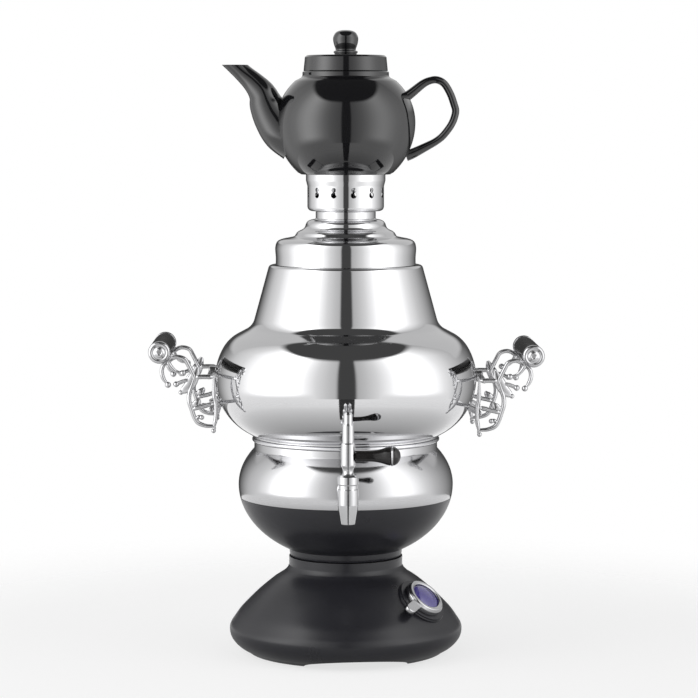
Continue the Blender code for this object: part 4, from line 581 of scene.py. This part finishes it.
def build_crown():
    steel = FINISH["polished_steel"]
    flare = CROWN_TOP - 11.5
    vent_pairs, first_pair = 12, 11         # the first pair's degrees off the front
    line = rounded([
        (23.7, CROWN_LOW + 1.0), (23.7, CROWN_LOW), (34.3, CROWN_LOW, 4.0), (34.3, flare, 4.0),
        (35.6, flare + 5.0, 3.0), (35.6, CROWN_TOP, 0.9), (34.4, CROWN_TOP, 0.4), (34.4, flare + 5.4, 3.0),
        (33.3, flare, 4.0), (33.3, CROWN_LOW + 1.0, 3.2),
    ], closed=True)
    holes = []
    for radius, height in ((2.7, 14.6), (2.1, 19.2)):
        for k in range(vent_pairs):
            turn = math.radians(first_pair + 360 / vent_pairs * k)
            outward = Vector((math.sin(turn), -math.cos(turn), 0))
            start = AXIS + outward * 0.031 + Vector((0, 0, (CROWN_LOW + height) * MM))
            holes.append(cylinder_mesh(start, start + outward * 0.006, radius * MM, 20))
    crown = tidy(carved(lathed(line, steps=120, finish=steel), holes))
    piece("vented_crown", crown, "lid", ["crown"], steel)


# ------------ black foot and housing


def dome_line():
    """Outer line of the foot from the rim up the dome to its neck."""
    dome = [
        (88.0, 1.0), (91.7, 3.5), (96.7, 6.5), (101.0, 10.5), (103.9, 15.0), (105.0, 20.0), (104.4, 25.0),
        (100.7, 31.0), (95.7, 38.0), (88.2, 46.0), (80.0, 54.0), (71.9, 61.0), (64.3, 67.0), (56.6, 72.0),
        (52.8, 75.6),
    ]
    return flowing(dome, 5) + rounded([dome[-1], (51.2, 79.0, 2.5), (51.2, BASE_TOP)])[1:]


def build_foot():
    """The moulded foot with its control seat, inlet recess and screw posts."""
    plastic = FINISH["black_plastic"]
    outer = dome_line()
    roof = BASE_TOP - MOULDED_WALL
    hollow = flowing([
        (83.5, 1.0), (88.5, 4.6), (94.0, 8.6), (98.3, 12.6), (101.0, 17.0), (102.0, 21.0), (100.9, 26.0),
        (98.0, 31.0), (92.9, 38.0), (85.5, 45.6), (77.5, 53.0), (69.6, 59.6), (62.0, 65.2), (54.4, 70.0),
        (50.2, 73.6),
    ], 5) + [(48.4, 77.5), (48.4, roof), (TUBE_HOLE, roof)]
    base = lathed([*outer, (TUBE_HOLE, BASE_TOP), *hollow[::-1]], finish=plastic)
    within = lathed([(0, 1.2), *((r - 1.2, z - 0.5) for r, z in outer), (0, BASE_TOP - 1.4)])
    back = inlet_back()
    inner = [box_mesh((-0.0295, back - 0.0026, 0.012), (0.0295, back + 0.02, 0.044))]
    post_foot, post_height, post_radius = 0.0113, 0.055, 0.0048
    for k in range(3):
        lowest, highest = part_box(f"base_screw_{k + 1}")
        foot = Vector(((lowest.x + highest.x) / 2, (lowest.y + highest.y) / 2, post_foot))
        inner.append(cylinder_mesh(foot, foot + Vector((0, 0, post_height)), post_radius))
    for mesh in inner:
        base = carved(base, [carved(mesh, [within], "INTERSECT")], "UNION")
    seat = control_frame()
    opening = cylinder_mesh(seat @ Vector((0, 0, -0.016)), seat @ Vector((0, 0, 0.008)), 0.0206, CONTROL_TURNS)
    ring = [(5.3, -2.8), (20.5, -2.8), (20.5, -8.0), (23.5, -8.0), (23.5, 0.3), (23.0, 0.8), (5.3, 0.8)]
    base = carved(base, [opening])
    base = carved(base, [lathed(ring, CONTROL_TURNS, seat)], "UNION")
    piece("foot", tidy(carved(base, foot_cutters())), "samovar", ["base_shell"], plastic)


def inlet_back():
    """How far back the recess for the inlet's plate goes."""
    return high("power_inlet").y - MOULDED_WALL * MM


def foot_cutters():
    """Three low arches in the rim, the inlet's recess and its way in."""
    cutters = []
    arches, first_arch = 3, 5.9             # the first arch's degrees off the front
    for k in range(arches):
        turn = math.radians(first_arch + 360 / arches * k)
        outward = Vector((math.sin(turn), -math.cos(turn), 0))
        log = cylinder_mesh((0, 0, -0.5), (0, 0, 0.5), 1, SMALL_TURNS)
        log.transform(Matrix.Diagonal((0.046, 0.0072, 0.045, 1)))       # half width, rise and depth of an arch
        sideways = Vector((math.sin(turn + math.pi / 2), -math.cos(turn + math.pi / 2), 0))
        basis = Matrix((sideways, Vector((0, 0, 1)), outward)).transposed().to_4x4()
        centre = AXIS + outward * 0.087 + Vector((0, 0, 0.001))
        log.transform(Matrix.Translation(centre) @ basis)
        cutters.append(log)
    back = inlet_back()
    level = (low("power_inlet").z + high("power_inlet").z) / 2
    cutters.append(box_mesh((-0.027, back, level - 0.01325), (0.027, back + 0.03, level + 0.1)))
    cutters.append(box_mesh((-0.0141, back - 0.03, level - 0.0101), (0.0141, back + 0.01, level + 0.0101)))
    return cutters


def build_housing():
    outer = rounded([
        (TUBE_HOLE, HOUSING_LOW), (49.6, HOUSING_LOW, 0.8), (50.6, HOUSING_LOW + 2.4, 1.0),
        (51.05, HOUSING_LOW + 6.4),
    ])
    top, floor = SEAM - 0.3, HOUSING_LOW + MOULDED_WALL
    outer += oval(BOWL_RADIUS, 69.0, BOWL_WIDEST, HOUSING_LOW + 6.6, top, 30)
    inner = oval(93.9, 66.2, BOWL_WIDEST, floor, top, 30)
    housing = lathed([*outer, *inner[::-1], (TUBE_HOLE, floor)], finish=FINISH["black_plastic"])
    piece("housing", housing, "samovar", ["lower_housing"])


# ------------ teapot


def build_teapot():
    glaze = FINISH["black_glaze"]
    floor = POT_FOOT + 1.3
    belly = floor + 44.7
    mouth = floor + 90.3
    outer = rounded([
        (0, floor), (37.0, floor, 0.5), (37.0, POT_FOOT, 0.4), (40.2, POT_FOOT, 0.8), (42.6, POT_FOOT + 3.0),
    ])[:-1]
    radius, inside = 62.3, 58.3
    outer += oval(radius, 61.0, belly, POT_FOOT + 1.6, belly, 26)[:-1]
    outer += oval(radius, 54.0, belly, belly, mouth - 8.2, 30)
    outer += rounded([
        outer[-1], (38.6, mouth - 5.0, 3.0), (38.6, mouth, 1.2), (31.2, mouth, 1.0), (31.2, mouth - 5),
    ])[1:]
    inner = [
        *oval(inside, 50.0, belly, belly + 42.2, belly, 20)[:-1],
        *oval(inside, 57.0, belly, belly, floor + 4.0, 20), (0, floor + 4.0),
    ]
    body = lathed([*outer, *inner], finish=glaze)
    spout = [
        (-45.3, 0, floor + 31.8, 22.0), (-56, 0, floor + 38.1, 20.0), (-64.5, 0, floor + 49.1, 17.8),
        (-70.6, 0, floor + 60.6, 15.4), (-74.8, 0, floor + 71.1, 12.4), (-81.5, 0, floor + 79.6, 10.0),
        (-90, 0, floor + 87.6, 8.4), (-98.5, 0, floor + 95.6, 7.9), (-105.5, 0, floor + 102.0, 7.7),
    ]
    spout_mesh = swept([p[:3] for p in spout], [p[3] for p in spout], 60, sides=40, finish=glaze)
    ear_shares = (
        (0.51, 0.73, 1.4), (0.60, 0.83, 1.25), (0.70, 0.945, 1.1), (0.765, 0.99, 1), (0.83, 1, 1),
        (0.895, 0.95, 1), (0.95, 0.82, 1), (0.985, 0.68, 1), (1, 0.59, 1), (0.985, 0.49, 1),
        (0.96, 0.41, 1), (0.925, 0.335, 1), (0.875, 0.25, 1), (0.815, 0.185, 1), (0.745, 0.13, 1.1),
        (0.615, 0.035, 1.35), (0.55, 0, 1.5),
    )
    ear = [(98.3 * u, 0, floor + 15.2 + 67.6 * v) for u, v, _ in ear_shares]
    ear_mesh = swept(ear, [3.3 * share for *_, share in ear_shares], 90, sides=24, finish=glaze)
    tip = (floor + 96.1) * MM
    above = box_mesh((-0.2, -0.05, tip), (-0.06, 0.07, tip + 0.08))
    hollow = lathed([(0, mouth + 3), (31.2, mouth + 3), *inner])
    spout_wall = 3.2
    bore = swept([p[:3] for p in spout[2:]], [p[3] - spout_wall for p in spout[2:]], 48, sides=32)
    pot = carved(body, [spout_mesh, ear_mesh], "UNION")
    pot = carved(pot, [above, hollow, bore])
    piece("teapot", tidy(pot), "pot", ["teapot_body"], glaze)
    build_pot_lid(mouth + 0.3, glaze)


def build_pot_lid(foot, glaze):
    top = foot + 14.0
    knob = (
        (0, 22.4), (4.7, 22.05), (8.6, 20.4), (10.8, 17.0), (11.2, 13.4), (10.4, 9.4), (9.2, 6.0), (8.95, 4.5),
    )
    line = flowing([(r, top + z) for r, z in knob], 5)
    line += rounded([
        line[-1], (10.7, top + 3.5, 0.6), (10.7, top + 2.1, 0.6), (9.4, top + 1.2, 0.4), (12.6, top, 1.2),
        (34.6, top, 1.2), (36.4, top - 1.6, 0.8), (37.6, foot + 0.4, 0.3), (37.4, foot), (30.6, foot, 0.3),
        (30.6, foot - 7.5, 0.5), (28.85, foot - 7.5, 0.5), (28.85, foot + 3.5, 1.5), (25.35, top - 3.5, 1.0),
        (0, top - 3.5),
    ])[1:]
    piece("teapot_cover", lathed(line, finish=glaze), "pot_lid", ["teapot_lid"])


# ------------ tap


def build_tap():
    chrome, black = FINISH["worn_chrome"], FINISH["black_bakelite"]
    place = Matrix.Translation(Vector((0, (low("tap_plug").y + high("tap_plug").y) / 2, tap_height())))
    barrel = rounded([
        (6.0, 16.8), (7.1, 17.0, 0.4), (8.9, 15.2, 0.8), (8.9, 9.0, 0.5), (8.4, 8.2, 0.4), (8.4, 5.0, 0.4),
        (8.9, 4.2, 0.5), (8.9, -9.0, 2.0), (6.2, -25.0, 0.6), (6.0, -25.8, 0.5), (4.0, -25.8), (4.0, -8.3),
        (5.9, -8.3),
    ])
    body = lathed(barrel, SMALL_TURNS, place, chrome)
    start = place.to_translation() + Vector((0, 0.0062, 0))
    end = Vector((0, high("tap_body").y, start.z))
    body = carved(body, [cylinder_mesh(start, end, 0.006, 48)], "UNION")
    bore = cylinder_mesh(start - Vector((0, 0.006, 0)), end + Vector((0, 0.002, 0)), 0.0038)
    piece("tap_barrel", tidy(carved(body, [bore])), "samovar", ["tap_body"], chrome)
    key = flowing([
        (5.6, 17.0), (4.6, 18.4), (4.5, 21.0), (5.2, 23.0), (6.15, 24.6), (6.3, 27.0), (6.3, 40.0), (6.2, 42.4),
    ], 3)
    key = [(0, -8.0), (5.6, -8.0)] + key + rounded([
        key[-1], (6.1, 43.6, 0.5), (5.15, 44.6, 0.4), (5.15, 59.2, 0.5), (3.9, 61.4, 0.5), (3.9, 68.6, 0.6),
        (2.4, 70.8, 0.9), (0, 71.0),
    ])[1:]
    piece("tap_key", lathed(key, SMALL_TURNS, place, chrome), "tap_key", ["tap_plug"])
    lever_place = place @ Matrix.Translation((0, 0, 0.033)) @ Matrix.Rotation(math.pi / 2, 4, "Y")
    lever = flowing([
        (4.9, 6.6), (4.8, 12.0), (4.75, 17.0), (5.0, 22.6), (6.1, 28.2), (7.6, 32.8), (8.35, 36.1),
    ], 4)
    round_end = [
        (8.4 * math.cos(angle), 37.5 + 7.5 * math.sin(angle)) for angle in np.radians(np.linspace(9, 84, 14))
    ]
    lever = [(0, 4.0), (2.6, 4.0), (2.6, 6.6), *lever, (7.7, 36.4), (7.7, 38.6), *round_end, (0, 45.0)]
    grip = lathed(lever, SMALL_TURNS, lever_place, black)
    piece("tap_grip", grip, "tap_key", ["tap_lever"])
    ring = rounded([(7.95, 36.7), (8.5, 36.7, 0.5), (8.8, 37.5, 0.5), (8.5, 38.3, 0.5), (7.95, 38.3)])
    ring = lathed(ring, SMALL_TURNS, lever_place, chrome)
    piece("tap_grip_ring", ring, "tap_key", ["tap_lever_ring"])
    along = Matrix.Translation((0, AXIS.y, tap_height())) @ LYING
    near, far = (AXIS.y - high("tap_flange").y) / MM, (AXIS.y - low("tap_flange").y) / MM
    flange = rounded([(6.3, near), (9.2, near, 0.3), (9.2, far - 1.2, 1.0), (7.6, far, 0.8), (6.3, far)])
    piece("tap_collar", lathed(flange, SMALL_TURNS, along, chrome), "samovar", ["tap_flange"])


# ------------ control


def control_frame():
    """The axis of the control comes from its joint."""
    joint = next(j for j in frame["joints"] if j["name"] == "thermostat_turn")
    normal = -Vector(joint["axis"]).normalized()
    level = Vector((normal.y, -normal.x, 0)).normalized()
    if level.y > 0:
        level = -level
    down = normal.cross(level)
    basis = Matrix((level, down, normal)).transposed().to_4x4()
    return Matrix.Translation(Vector(joint["pos_m"])) @ basis


def build_control():
    place = control_frame()
    chrome = FINISH["worn_chrome"]
    knob = rounded([
        (3.3, 5.1), (3.3, 6.3), (13.4, 6.3, 0.3), (13.4, 8.1, 0.5), (14.9, 8.7, 0.8), (16.9, 8.7, 1.2),
        (18.6, 6.3, 0.9), (18.6, 2.2, 0.4), (17.0, 2.2, 0.3), (17.0, 5.1, 0.5),
    ], closed=True)
    body = lathed(knob, CONTROL_TURNS, place, chrome)
    tab = rounded_slab(17.6, 36.5, 4.9, 2.8, 7.0, 1.1)
    tab.transform(place @ Matrix.Rotation(math.radians(13), 4, "Z"))
    piece("control_knob", tidy(carved(body, [tab], "UNION")), "control", ["thermostat_knob"], chrome)
    lens = flowing([(0, 10.0), (4.4, 9.75), (8.3, 9.0), (11.0, 8.1), (12.8, 7.1)], 5)
    lens = lathed([*lens, (13.1, 6.8), (13.1, 6.6), (0, 6.6)], CONTROL_TURNS, place, FINISH["blue_lens"])
    piece("control_lens", lens, "control", ["knob_lens"])


def rounded_slab(root, reach, half, floor, top, bevel):
    """The knob's tab: a tongue with a round end and softened edges, along X."""
    work = bmesh.new()
    rim = [(root, -half), *arc((reach - half, 0), half, -90, 90, 17), (root, half)]
    face = work.faces.new([work.verts.new((x * MM, y * MM, floor * MM)) for x, y in rim])
    grown_face = bmesh.ops.extrude_face_region(work, geom=[face])
    bmesh.ops.translate(work, vec=(0, 0, (top - floor) * MM),
                        verts=[v for v in grown_face["geom"] if isinstance(v, bmesh.types.BMVert)])
    bmesh.ops.recalc_face_normals(work, faces=work.faces)
    edges = [
        e for e in work.edges
        if abs(e.verts[0].co.z - e.verts[1].co.z) < MERGE and max(v.co.x for v in e.verts) > root * MM + MERGE
    ]
    bmesh.ops.bevel(work, geom=edges, offset=bevel * MM, segments=4, profile=0.5, affect="EDGES")
    return written(work, "tab")


# ------------ handles


def build_handles():
    for side, word in ((-1, "left"), (1, "right")):
        grip_low, grip_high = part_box(f"{word}_handle_grip")
        centre = (grip_low + grip_high) / 2
        half = (grip_high.y - grip_low.y) / 2 / MM
        line = rounded([
            (2.1, -half), (9.4, -half, 0.9), (9.75, -half / 2), (9.75, half / 2), (9.4, half, 0.9), (2.1, half),
        ])
        grip = lathed(line, SMALL_TURNS, Matrix.Translation(centre) @ LYING, FINISH["black_bakelite"])
        piece(f"{word}_grip", grip, "samovar", [f"{word}_handle_grip"])
        chrome = FINISH["cast_chrome"]
        piece(f"{word}_bracket", bracket(side, centre), "samovar", [f"{word}_handle_bracket"], chrome)


# a cheek's strokes: points (distance from the samovar's axis, height above the upper bar), half width, flatness
SCROLLS = (
    ((
        (144.2, 3.9), (147.1, 4.5), (150.9, 5.8), (154.8, 9.7), (156.7, 13.6), (153.5, 16.9), (148.4, 18.1),
        (142.6, 16.2), (139.4, 11.0), (136.2, 4.5), (134.4, 0.0), (135.4, -4.2), (136.8, -8.4), (138.7, -14.9),
        (138.7, -21.4), (136.8, -27.9), (134.2, -35.6), (131.0, -40.2), (124.6, -42.8), (118.1, -43.4),
        (116.5, -45.0), (117.5, -47.3),
    ), 1.7, 1),
    ((
        (157.6, 17.6), (155.4, 16.4), (158.9, 13.2), (161.9, 9.7), (162.8, 4.5), (161.2, -1.3), (157.4, -6.5),
    ), 1.6, 1),
    (((137.5, -2.1), (143.0, -3.1), (147.5, -4.8), (150.2, -6.0)), 1.5, 1),
    (((131.5, 9.0), (133.0, 4.4), (135.0, -0.6), (138.5, -7.1), (143.0, -11.1), (146.0, -13.3)), 3.6, 0.35),
    (((134.2, -36.5), (133.0, -37.4), (130.5, -35.1), (127.8, -35.4)), 1.5, 1),
    (((138.5, -23.6), (134.5, -24.1), (131.0, -21.6), (129.4, -19.0)), 2.2, 0.5),
    (((117.2, 0.3), (126.0, 0.6), (134.0, 0.2)), 1.8, 1),
    (((117.0, -23.6), (121.0, -24.1), (126.0, -25.6), (131.5, -26.8), (137.5, -28.6)), 1.7, 1),
    ((
        (117.2, 1.9), (116.9, -9.6), (116.7, -16.6), (115.4, -22.0), (115.2, -27.6), (115.3, -34.6),
        (116.3, -40.6), (117.4, -46.1),
    ), 1.6, 1),
)
# balls at the strokes' ends, with their radius
BALLS = (
    (144.2, 3.9, 2.7), (157.4, -6.5, 2.7), (150.2, -6.0, 2.6), (146.0, -13.3, 2.1), (127.8, -35.4, 2.2),
    (117.5, -47.3, 2.1),
)
CHEEK_DEPTH = 50.5              # from the samovar's axis to a cheek, to the front and to the back
EYE_RISE = 22.3                 # from the upper bar up to the grip's axis
BAR_DROP = 26                   # from the upper bar down to the lower one


def stroke(line, half, flatness, side, depth, level):
    """One cast stroke of a cheek, tapered at both ends; a flat one is a leaf."""
    path = flowing(line, 6)
    along = np.linspace(0, 1, len(path))
    if flatness == 1:
        shares = [min(1, 0.45 + 3.2 * min(t, 1 - t)) for t in along]
    else:
        shares = [0.35 + 0.85 * math.sin(math.pi * t) for t in along]
    points = [(side * x, 0, level + z) for x, z in path]
    mesh = swept(points, [1.18 * half * share for share in shares], 3 * len(path), Matrix(), sides=14)
    mesh.transform(Matrix.Translation((0, AXIS.y + depth * MM, 0)) @ Matrix.Diagonal((1, flatness, 1, 1)))
    return mesh


def bracket(side, eye):
    """A cast bracket: two cheeks of scrolls with their eyes, joined by cross bars that carry the bosses."""
    level = eye.z / MM - EYE_RISE
    meshes = []
    for depth in (-CHEEK_DEPTH, CHEEK_DEPTH):
        meshes += [stroke(line, half, flatness, side, depth, level) for line, half, flatness in SCROLLS]
        for x, z, radius in BALLS:
            spot = AXIS + Vector((side * x, depth, level + z)) * MM
            ball = [(0, -radius), *arc((0, 0), radius, -84, 84, 15), (0, radius)]
            meshes.append(lathed(ball, 20, Matrix.Translation(spot)))
    hub = Matrix.Translation(Vector((eye.x, AXIS.y, eye.z))) @ LYING
    cap = rounded([(0, 53.6), (2.1, 53.6), (2.1, 48.0), (9.9, 48.0, 0.7), (9.9, 54.0)])
    cap += flowing([
        (9.9, 54.0), (9.6, 55.5), (8.4, 56.6), (7.0, 56.7), (5.8, 56.2), (4.6, 56.5), (3.4, 57.3),
    ], 4)[1:]
    cap += [(2.4, 57.5), (1.9, 57.2), (1.7, 56.0), (0, 56.0)]
    meshes.append(lathed(cap, SMALL_TURNS, hub))
    plain = rounded([(2.1, -55.5), (9.9, -55.5, 0.9), (9.9, -48.0, 0.7), (2.1, -48.0)], closed=True)
    meshes.append(lathed(plain, SMALL_TURNS, hub))
    upper = math.asin((level - BODY_LOW - BULGE_RISE) / BULGE_RADIUS)
    for angle, length in ((upper, 6.2), (upper - math.asin(BAR_DROP / BULGE_RADIUS), 8.8)):
        out = Vector((side * math.cos(angle), 0, math.sin(angle)))
        wall = Vector((side * BULGE_CENTRE, 0, BODY_LOW + BULGE_RISE)) + out * BULGE_RADIUS
        bar = Matrix.Translation(AXIS + (wall + out * (length - 2.1)) * MM) @ LYING
        meshes.append(lathed(rounded([(0, -52.0), (2.1, -52.0, 0.9), (2.1, 52.0, 0.9), (0, 52.0)]), 28, bar))
        boss = rounded([(0, 4.8), (2.2, 4.8), (2.2, 0.3), (5.5, 0.3, 0.3), (5.5, length, 1.4), (0, length)])
        stand = Matrix.Translation(AXIS + wall * MM) @ pointing(out)
        meshes.append(lathed(boss, 36, stand))
    return joined(meshes)


def joined(meshes):
    """Several closed meshes as one."""
    work = bmesh.new()
    for mesh in meshes:
        work.from_mesh(mesh)
    return written(work, "casting")


def smoothing_tree():
    """Merges a kept mesh's loose triangles and smooths all but its sharp edges."""
    tree, given = new_tree("smooth_faces", ())
    merged = node(tree, "GeometryNodeMergeByDistance", {"Geometry": given["Geometry"], "Distance": 0.000005})
    soft = node(tree, "GeometryNodeSetShadeSmooth", {
        "Geometry": merged.outputs[0], "Shade Smooth": True,
    }, domain="FACE")
    angle = node(tree, "GeometryNodeInputMeshEdgeAngle").outputs["Unsigned Angle"]
    sharp = node(tree, "FunctionNodeCompare", {"A": angle, "B": SHARP}, operation="GREATER_THAN")
    hard = node(tree, "GeometryNodeSetShadeSmooth", {
        "Geometry": soft.outputs[0], "Selection": sharp.outputs[0], "Shade Smooth": False,
    }, domain="EDGE")
    node(tree, "NodeGroupOutput", {"Geometry": hard.outputs[0]})
    return tree


SMOOTHING = smoothing_tree()


def dress_rest():
    """What keeps its CAD shape gets its finish by its slot."""
    slots = {part["node"]: part["material_slot"] for part in frame["record"]["subparts"]}
    for name, item in NODES.items():
        if item.hide_render:
            continue
        finish = FINISH[slots[name]]
        if not item.material_slots:
            item.data.materials.append(finish)
        for place in item.material_slots:
            place.material = finish
        item.modifiers.new("smooth_faces", "NODES").node_group = SMOOTHING


# ------------ studio


# The camera, as fitted to the photograph: degrees, metres and pixels.
CAMERA_BEARING, CAMERA_HEADING, CAMERA_TILT = 0.91, 0.98, 4.871
CAMERA_DISTANCE, CAMERA_HEIGHT = 2.42, 0.4803
FOCAL_LENGTH, FRAME_WIDTH = 2699, 698
SENSOR = 36


def build_camera():
    bearing = math.radians(CAMERA_BEARING)
    data = bpy.data.cameras.new("camera")
    data.sensor_width = SENSOR
    data.lens = SENSOR * FOCAL_LENGTH / FRAME_WIDTH
    camera = linked("camera", data)
    away = Vector((-math.sin(bearing), -math.cos(bearing), 0)) * CAMERA_DISTANCE
    camera.location = AXIS + away + Vector((0, 0, CAMERA_HEIGHT))
    camera.rotation_euler = (math.pi / 2 - math.radians(CAMERA_TILT), 0, -math.radians(CAMERA_HEADING))
    bpy.context.scene.camera = camera


def stage_piece(name, points, faces, material, seen_by_camera=False):
    mesh = bpy.data.meshes.new(name)
    mesh.from_pydata(points, [], faces)
    mesh.materials.append(material)
    item = linked(name, mesh)
    item.visible_camera = seen_by_camera
    return item


def white_rays(tree):
    """The light path, and one for its rays from the camera, a mirror or glass, which see a white background."""
    path = node(tree, "ShaderNodeLightPath").outputs
    seen = maths(tree, "MAXIMUM", path["Is Camera Ray"], path["Is Glossy Ray"])
    return path, maths(tree, "MAXIMUM", seen, path["Is Transmission Ray"])


def build_world():
    world = bpy.data.worlds.new("studio")
    bpy.context.scene.world = world
    world.use_nodes = True
    tree = world.node_tree
    tree.nodes.clear()
    dim = node(tree, "ShaderNodeBackground", {"Color": (1, 1, 1, 1), "Strength": 0.55})
    white = node(tree, "ShaderNodeBackground", {"Color": (1, 1, 1, 1), "Strength": 1.0})
    mix = node(tree, "ShaderNodeMixShader", {0: white_rays(tree)[1], 1: dim.outputs[0], 2: white.outputs[0]})
    node(tree, "ShaderNodeOutputWorld", {"Surface": mix.outputs[0]})


# A big soft lamp and a pale wall on each side of a dark slit in front. Degrees are off the front.
LEFT_LIGHT = {"lamp": 64, "spread": 17.5, "strength": 2.02, "wall": 0.91, "curve": 0.21, "fade": (111, 167)}
RIGHT_LIGHT = {"lamp": 60.5, "spread": 18, "strength": 1.23, "wall": 0.88, "curve": 0.25, "fade": (86, 178)}
SLIT_HALF_WIDTH = 6.6
WALL_STEPS = (9, 16, 26, 36, 46, 54, 62, 70, 80, 92, 108, 125, 142, 158, 180)
BRIGHTEST = 3.0
BACK_LIGHT = 0.65               # a pale strip high on the back wall
UNLIT, SHADE = 0.03, 0.07       # the wall where no light falls, and the least that anything there shows
CEILING_FRONT, CEILING_BACK = math.radians(48), math.radians(58)    # how steeply up the dark ceiling begins
EYE_HEIGHT = 0.28               # from where that is measured
SWEEP_START, SWEEP_LIT = 0.72, 1.2      # where the floor starts to rise into the wall, and is as bright
WALL_RINGS = (
    (SWEEP_START, 0.002), (1.0, 0.02), (1.4, 0.09), (1.75, 0.22), (1.95, 0.45), (2.0, 0.7), (2.0, 2.2),
    (1.4, 2.6), (0.5, 2.8),
)


def wall_level(side, angle):
    """How bright a side is at an angle off the front: its wall, fading to the back, and its lamp."""
    start, end = side["fade"]
    faded = min(1, max(0, (angle - start) / (end - start)))
    wall = side["wall"] * abs(math.sin(math.radians(angle))) ** side["curve"]
    wall *= 1 - faded * faded * (3 - 2 * faded)
    lamp = side["strength"] * math.exp(-((angle - side["lamp"]) / side["spread"]) ** 2 / 2)
    return max(UNLIT, wall + lamp)


def surround_finish():
    """The studio's wall of light: soft side lights, a dark slit in front, a dark back and a dark ceiling."""
    material, tree = bare_material("wall_of_light")
    place = node(tree, "ShaderNodeSeparateXYZ", {"Vector": object_place(tree)}).outputs
    turn = maths(tree, "ARCTAN2", place["X"], maths(tree, "MULTIPLY", place["Y"], -1))
    ramp = node(tree, "ShaderNodeValToRGB", {"Fac": ranged(tree, turn, 0, 1, -math.pi, math.pi)})
    around = [(-a, wall_level(LEFT_LIGHT, a)) for a in reversed(WALL_STEPS)]
    around += [(-SLIT_HALF_WIDTH, UNLIT), (SLIT_HALF_WIDTH, UNLIT)]
    around += [(a, wall_level(RIGHT_LIGHT, a)) for a in WALL_STEPS]
    stops = ramp.color_ramp.elements
    while len(stops) < len(around):
        stops.new(0.5)
    for stop, (degrees, value) in zip(stops, around):
        stop.position = degrees / 360 + 0.5
        stop.color = (value / BRIGHTEST,) * 3 + (1,)
    high_up = eased(tree, place["Z"], 0, BACK_LIGHT / BRIGHTEST, 0.55, 0.95)
    high_up = maths(tree, "MULTIPLY", high_up, eased(tree, place["Y"], 0, 1, 0.5, 1.1))
    level = maths(tree, "MAXIMUM", ramp.outputs["Color"], high_up)
    reach = off_axis(tree, object_place(tree))
    steep = maths(tree, "ARCTAN2", maths(tree, "SUBTRACT", place["Z"], EYE_HEIGHT), reach)
    limit = eased(tree, maths(tree, "ABSOLUTE", turn), CEILING_FRONT, CEILING_BACK, 0.5, 1.9)
    ceiling = eased(tree, maths(tree, "SUBTRACT", steep, limit), BRIGHTEST, 0, -0.07, 0.05)
    level = maths(tree, "MULTIPLY", level, ceiling)
    plain = maths(tree, "MINIMUM", level, 1.0)
    extra = maths(tree, "SUBTRACT", level, plain)
    level = maths(tree, "MULTIPLY_ADD", extra, eased(tree, reach, 0, 1, SWEEP_START, SWEEP_LIT), plain)
    light = node(tree, "ShaderNodeEmission", {"Strength": maths(tree, "MAXIMUM", level, SHADE)})
    node(tree, "ShaderNodeOutputMaterial", {"Surface": light.outputs[0]})
    return material


def build_surround():
    """A round wall and a flat ceiling about the object, seen only in reflections and by the light."""
    angles = np.linspace(0, 2 * math.pi, 73)[:-1]
    points = [(r * math.cos(a), r * math.sin(a), z) for r, z in WALL_RINGS for a in angles]
    count = len(angles)
    top = (len(WALL_RINGS) - 1) * count
    faces = [
        (row + k, row + (k + 1) % count, row + count + (k + 1) % count, row + count + k)
        for row in range(0, top, count) for k in range(count)
    ]
    faces.append(tuple(range(top, top + count)))
    stage_piece("surround", points, faces, surround_finish())


def floor_finish():
    """A white floor that keeps the object's shadow and fades out before the wall. Mirrors also see a painted
    shadow on it: its glow is dimmed near the object.
    """
    material, tree = bare_material("pale_floor")
    path, seen = white_rays(tree)
    pale = node(tree, "ShaderNodeBsdfDiffuse", {"Color": (0.88, 0.88, 0.88, 1)})
    length = node(tree, "ShaderNodeVectorMath", {0: object_place(tree)}, operation="LENGTH").outputs["Value"]
    # painted shadow: for mirror rays the floor's glow is 0.30 within 0.1 m of the floor's centre, rising to full
    # at 0.45 m; the camera always sees it at full strength
    near = maths(tree, "MAXIMUM", ranged(tree, length, 0.30, 1, 0.1, 0.45), path["Is Camera Ray"])
    white = node(tree, "ShaderNodeEmission", {"Color": (1, 1, 1, 1), "Strength": near})
    lit = node(tree, "ShaderNodeMixShader", {
        0: maths(tree, "MULTIPLY", seen, 0.72), 1: pale.outputs[0], 2: white.outputs[0],
    })
    clear = node(tree, "ShaderNodeBsdfTransparent")
    faded = node(tree, "ShaderNodeMixShader", {
        0: eased(tree, length, 0, 1, 0.32, SWEEP_START), 1: lit.outputs[0], 2: clear.outputs[0],
    })
    node(tree, "ShaderNodeOutputMaterial", {"Surface": faded.outputs[0]})
    return material


def build_stage():
    build_world()
    angles = np.linspace(0, 2 * math.pi, 64, endpoint=False)
    rim = [(1.5 * math.cos(a), 1.5 * math.sin(a), 0) for a in angles]
    stage_piece("floor", rim, [tuple(range(len(rim)))], floor_finish(), True)
    dark, _, _ = shader("dark_card", (0.05, 0.05, 0.05), 1, **{"Specular IOR Level": 0})
    slope = math.tan(math.radians(SLIT_HALF_WIDTH))
    strip = [(side * y * slope, -y, 0.001) for side, y in ((-1, 0.22), (1, 0.22), (1, 0.75), (-1, 0.75))]
    card = stage_piece("floor_strip", strip, [(0, 1, 2, 3)], dark)
    card.visible_diffuse = card.visible_shadow = False
    build_surround()


build_steel()
build_lid()
build_crown()
build_foot()
build_housing()
build_teapot()
build_tap()
build_control()
build_handles()
dress_rest()
build_camera()
build_stage()
bpy.context.scene.view_settings.view_transform = "Standard"
